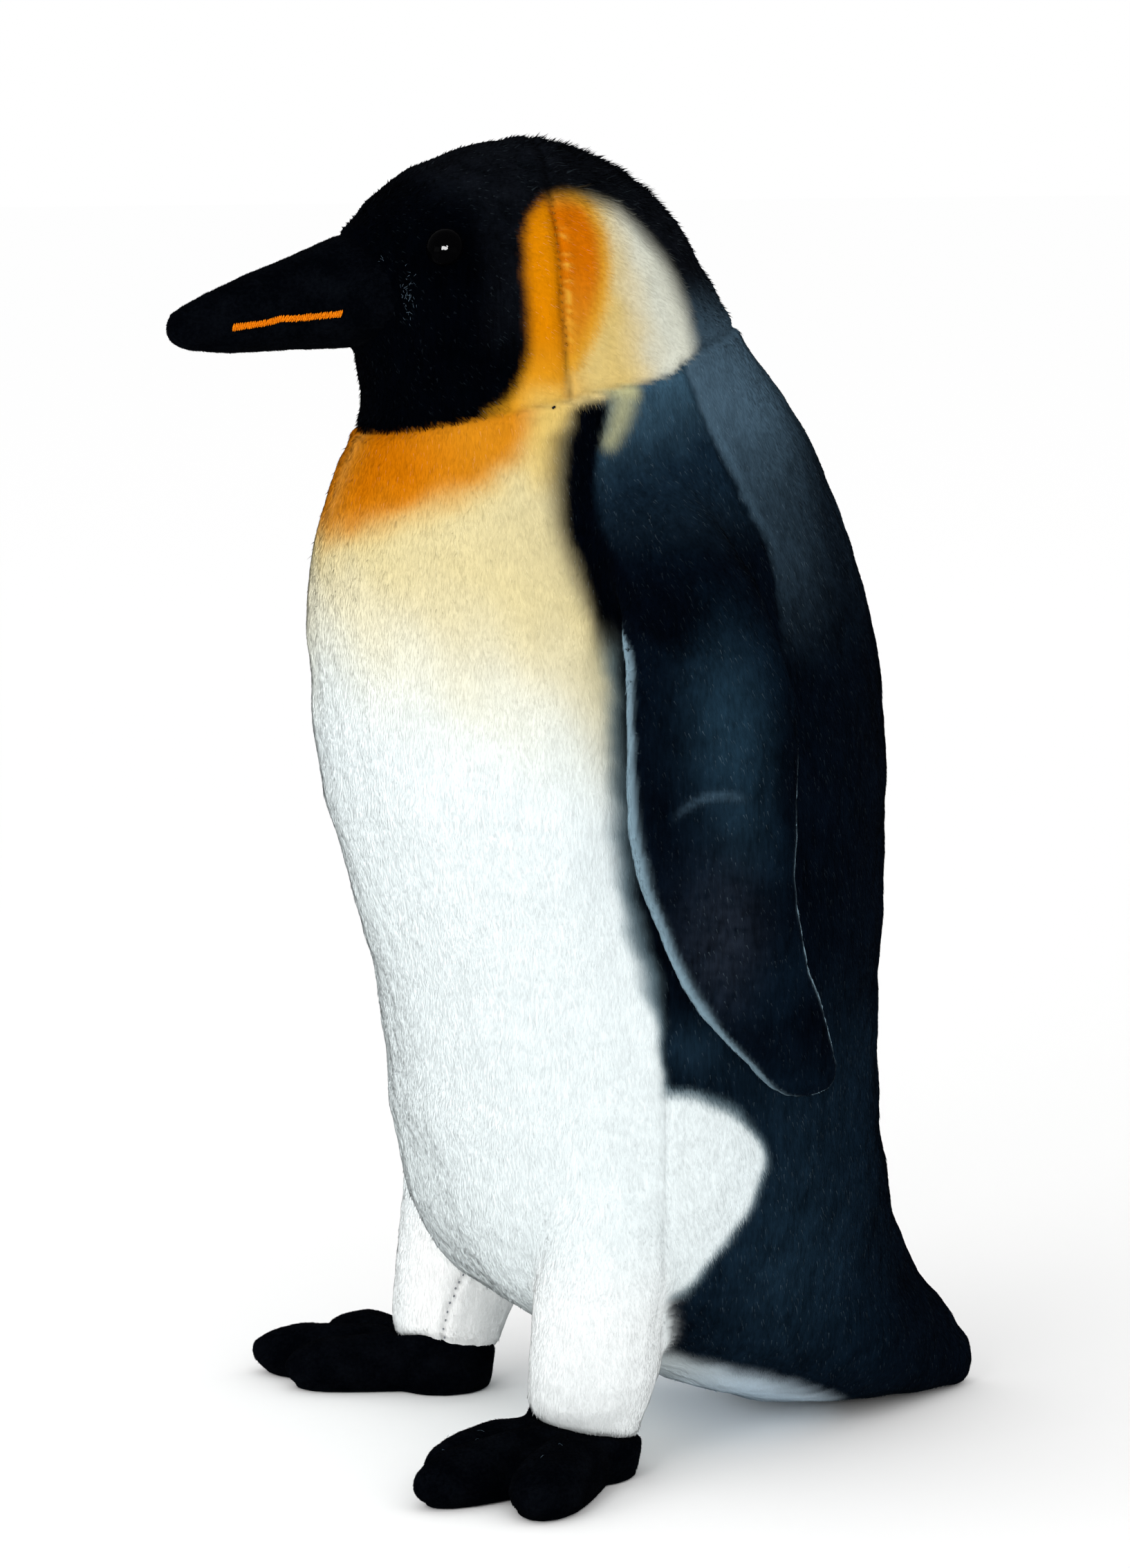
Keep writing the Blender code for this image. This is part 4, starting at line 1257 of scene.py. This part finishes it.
studio = {  # lamps: (target in mm, way, distance, size, power)
    "floorHalf": 14.0, "near": (0.96, 0.96, 0.957), "far": (0.99, 0.99, 0.99), "fade": (0.5, 2.2), "world": 1.0,
    "aim": (-12, 0, 200),
    "lamps": {
        "key": ((-12, 0, 200), (0.26, -0.93, 0.22), 1.8, (0.80, 0.60), 6.0),
        "window": ((-12, 0, 200), (0.62, -0.66, 0.42), 1.2, (0.34, 0.26), 2.2),
        "fill": ((-12, 0, 200), (0.95, 0.02, 0.10), 2.2, (1.9, 1.1), 6.5),
        "catch": ((34.5, -58.0, 367.9), (0.732, -0.628, 0.263), 1.5, (0.72, 0.40), 1380.0),
    },
}
view = {"place": (1460.8, -625.2, 420), "focal": 7520, "height": 2268, "sensor": 36, "reach": 50}


def floorShader(board):
    place = board.ownPlace()
    away = board.vector("LENGTH", place, out=1)
    grain = board.noise(place, (6.0, 6.0, 6.0))
    share = board.spread(away + grain * 0.1, *studio["fade"], 0.0, 1.0)
    colour = board.mixColour(share, studio["near"], studio["far"])
    return {"Base Color": colour, "Roughness": 0.95, "Specular IOR Level": 0.0}


def facing(obj, place, target):
    obj.location = place
    obj.rotation_euler = (target - obj.location).to_track_quat("-Z", "Y").to_euler()


half = studio["floorHalf"]
floorMesh = bpy.data.meshes.new("floor")
floorMesh.from_pydata([(-half, -half, 0), (half, -half, 0), (half, half, 0), (-half, half, 0)], [], [(0, 1, 2, 3)])
floorMesh.materials.append(newMaterial("paleFloor", floorShader))
floor = link(bpy.data.objects.new("floor", floorMesh))

sky = bpy.data.worlds.new("studio")
sky.use_nodes = True
sky.node_tree.nodes["Background"].inputs["Color"].default_value = (1, 1, 1, 1)
sky.node_tree.nodes["Background"].inputs["Strength"].default_value = studio["world"]
bpy.context.scene.world = sky

for label, (target, way, away, size, power) in studio["lamps"].items():
    lamp = bpy.data.lights.new(label, "AREA")
    lamp.shape, lamp.energy = "RECTANGLE", power
    lamp.size, lamp.size_y = size
    lampObject = link(bpy.data.objects.new(label, lamp))
    target = Vector(world(target))
    facing(lampObject, target + Vector(way).normalized() * away, target)
    if label == "catch":  # its reflection in the eyes is all it gives: the cloth is matt
        lampObject.visible_diffuse = lampObject.visible_camera = False

lens = bpy.data.cameras.new("camera")
lens.lens = view["focal"] / view["height"] * view["sensor"]
lens.sensor_width, lens.clip_end = view["sensor"], view["reach"]
camera = link(bpy.data.objects.new("camera", lens))
facing(camera, Vector(world(view["place"])), Vector(world(studio["aim"])))
bpy.context.scene.camera = camera
bpy.context.scene.view_settings.view_transform = "Standard"

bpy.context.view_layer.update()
report("done")
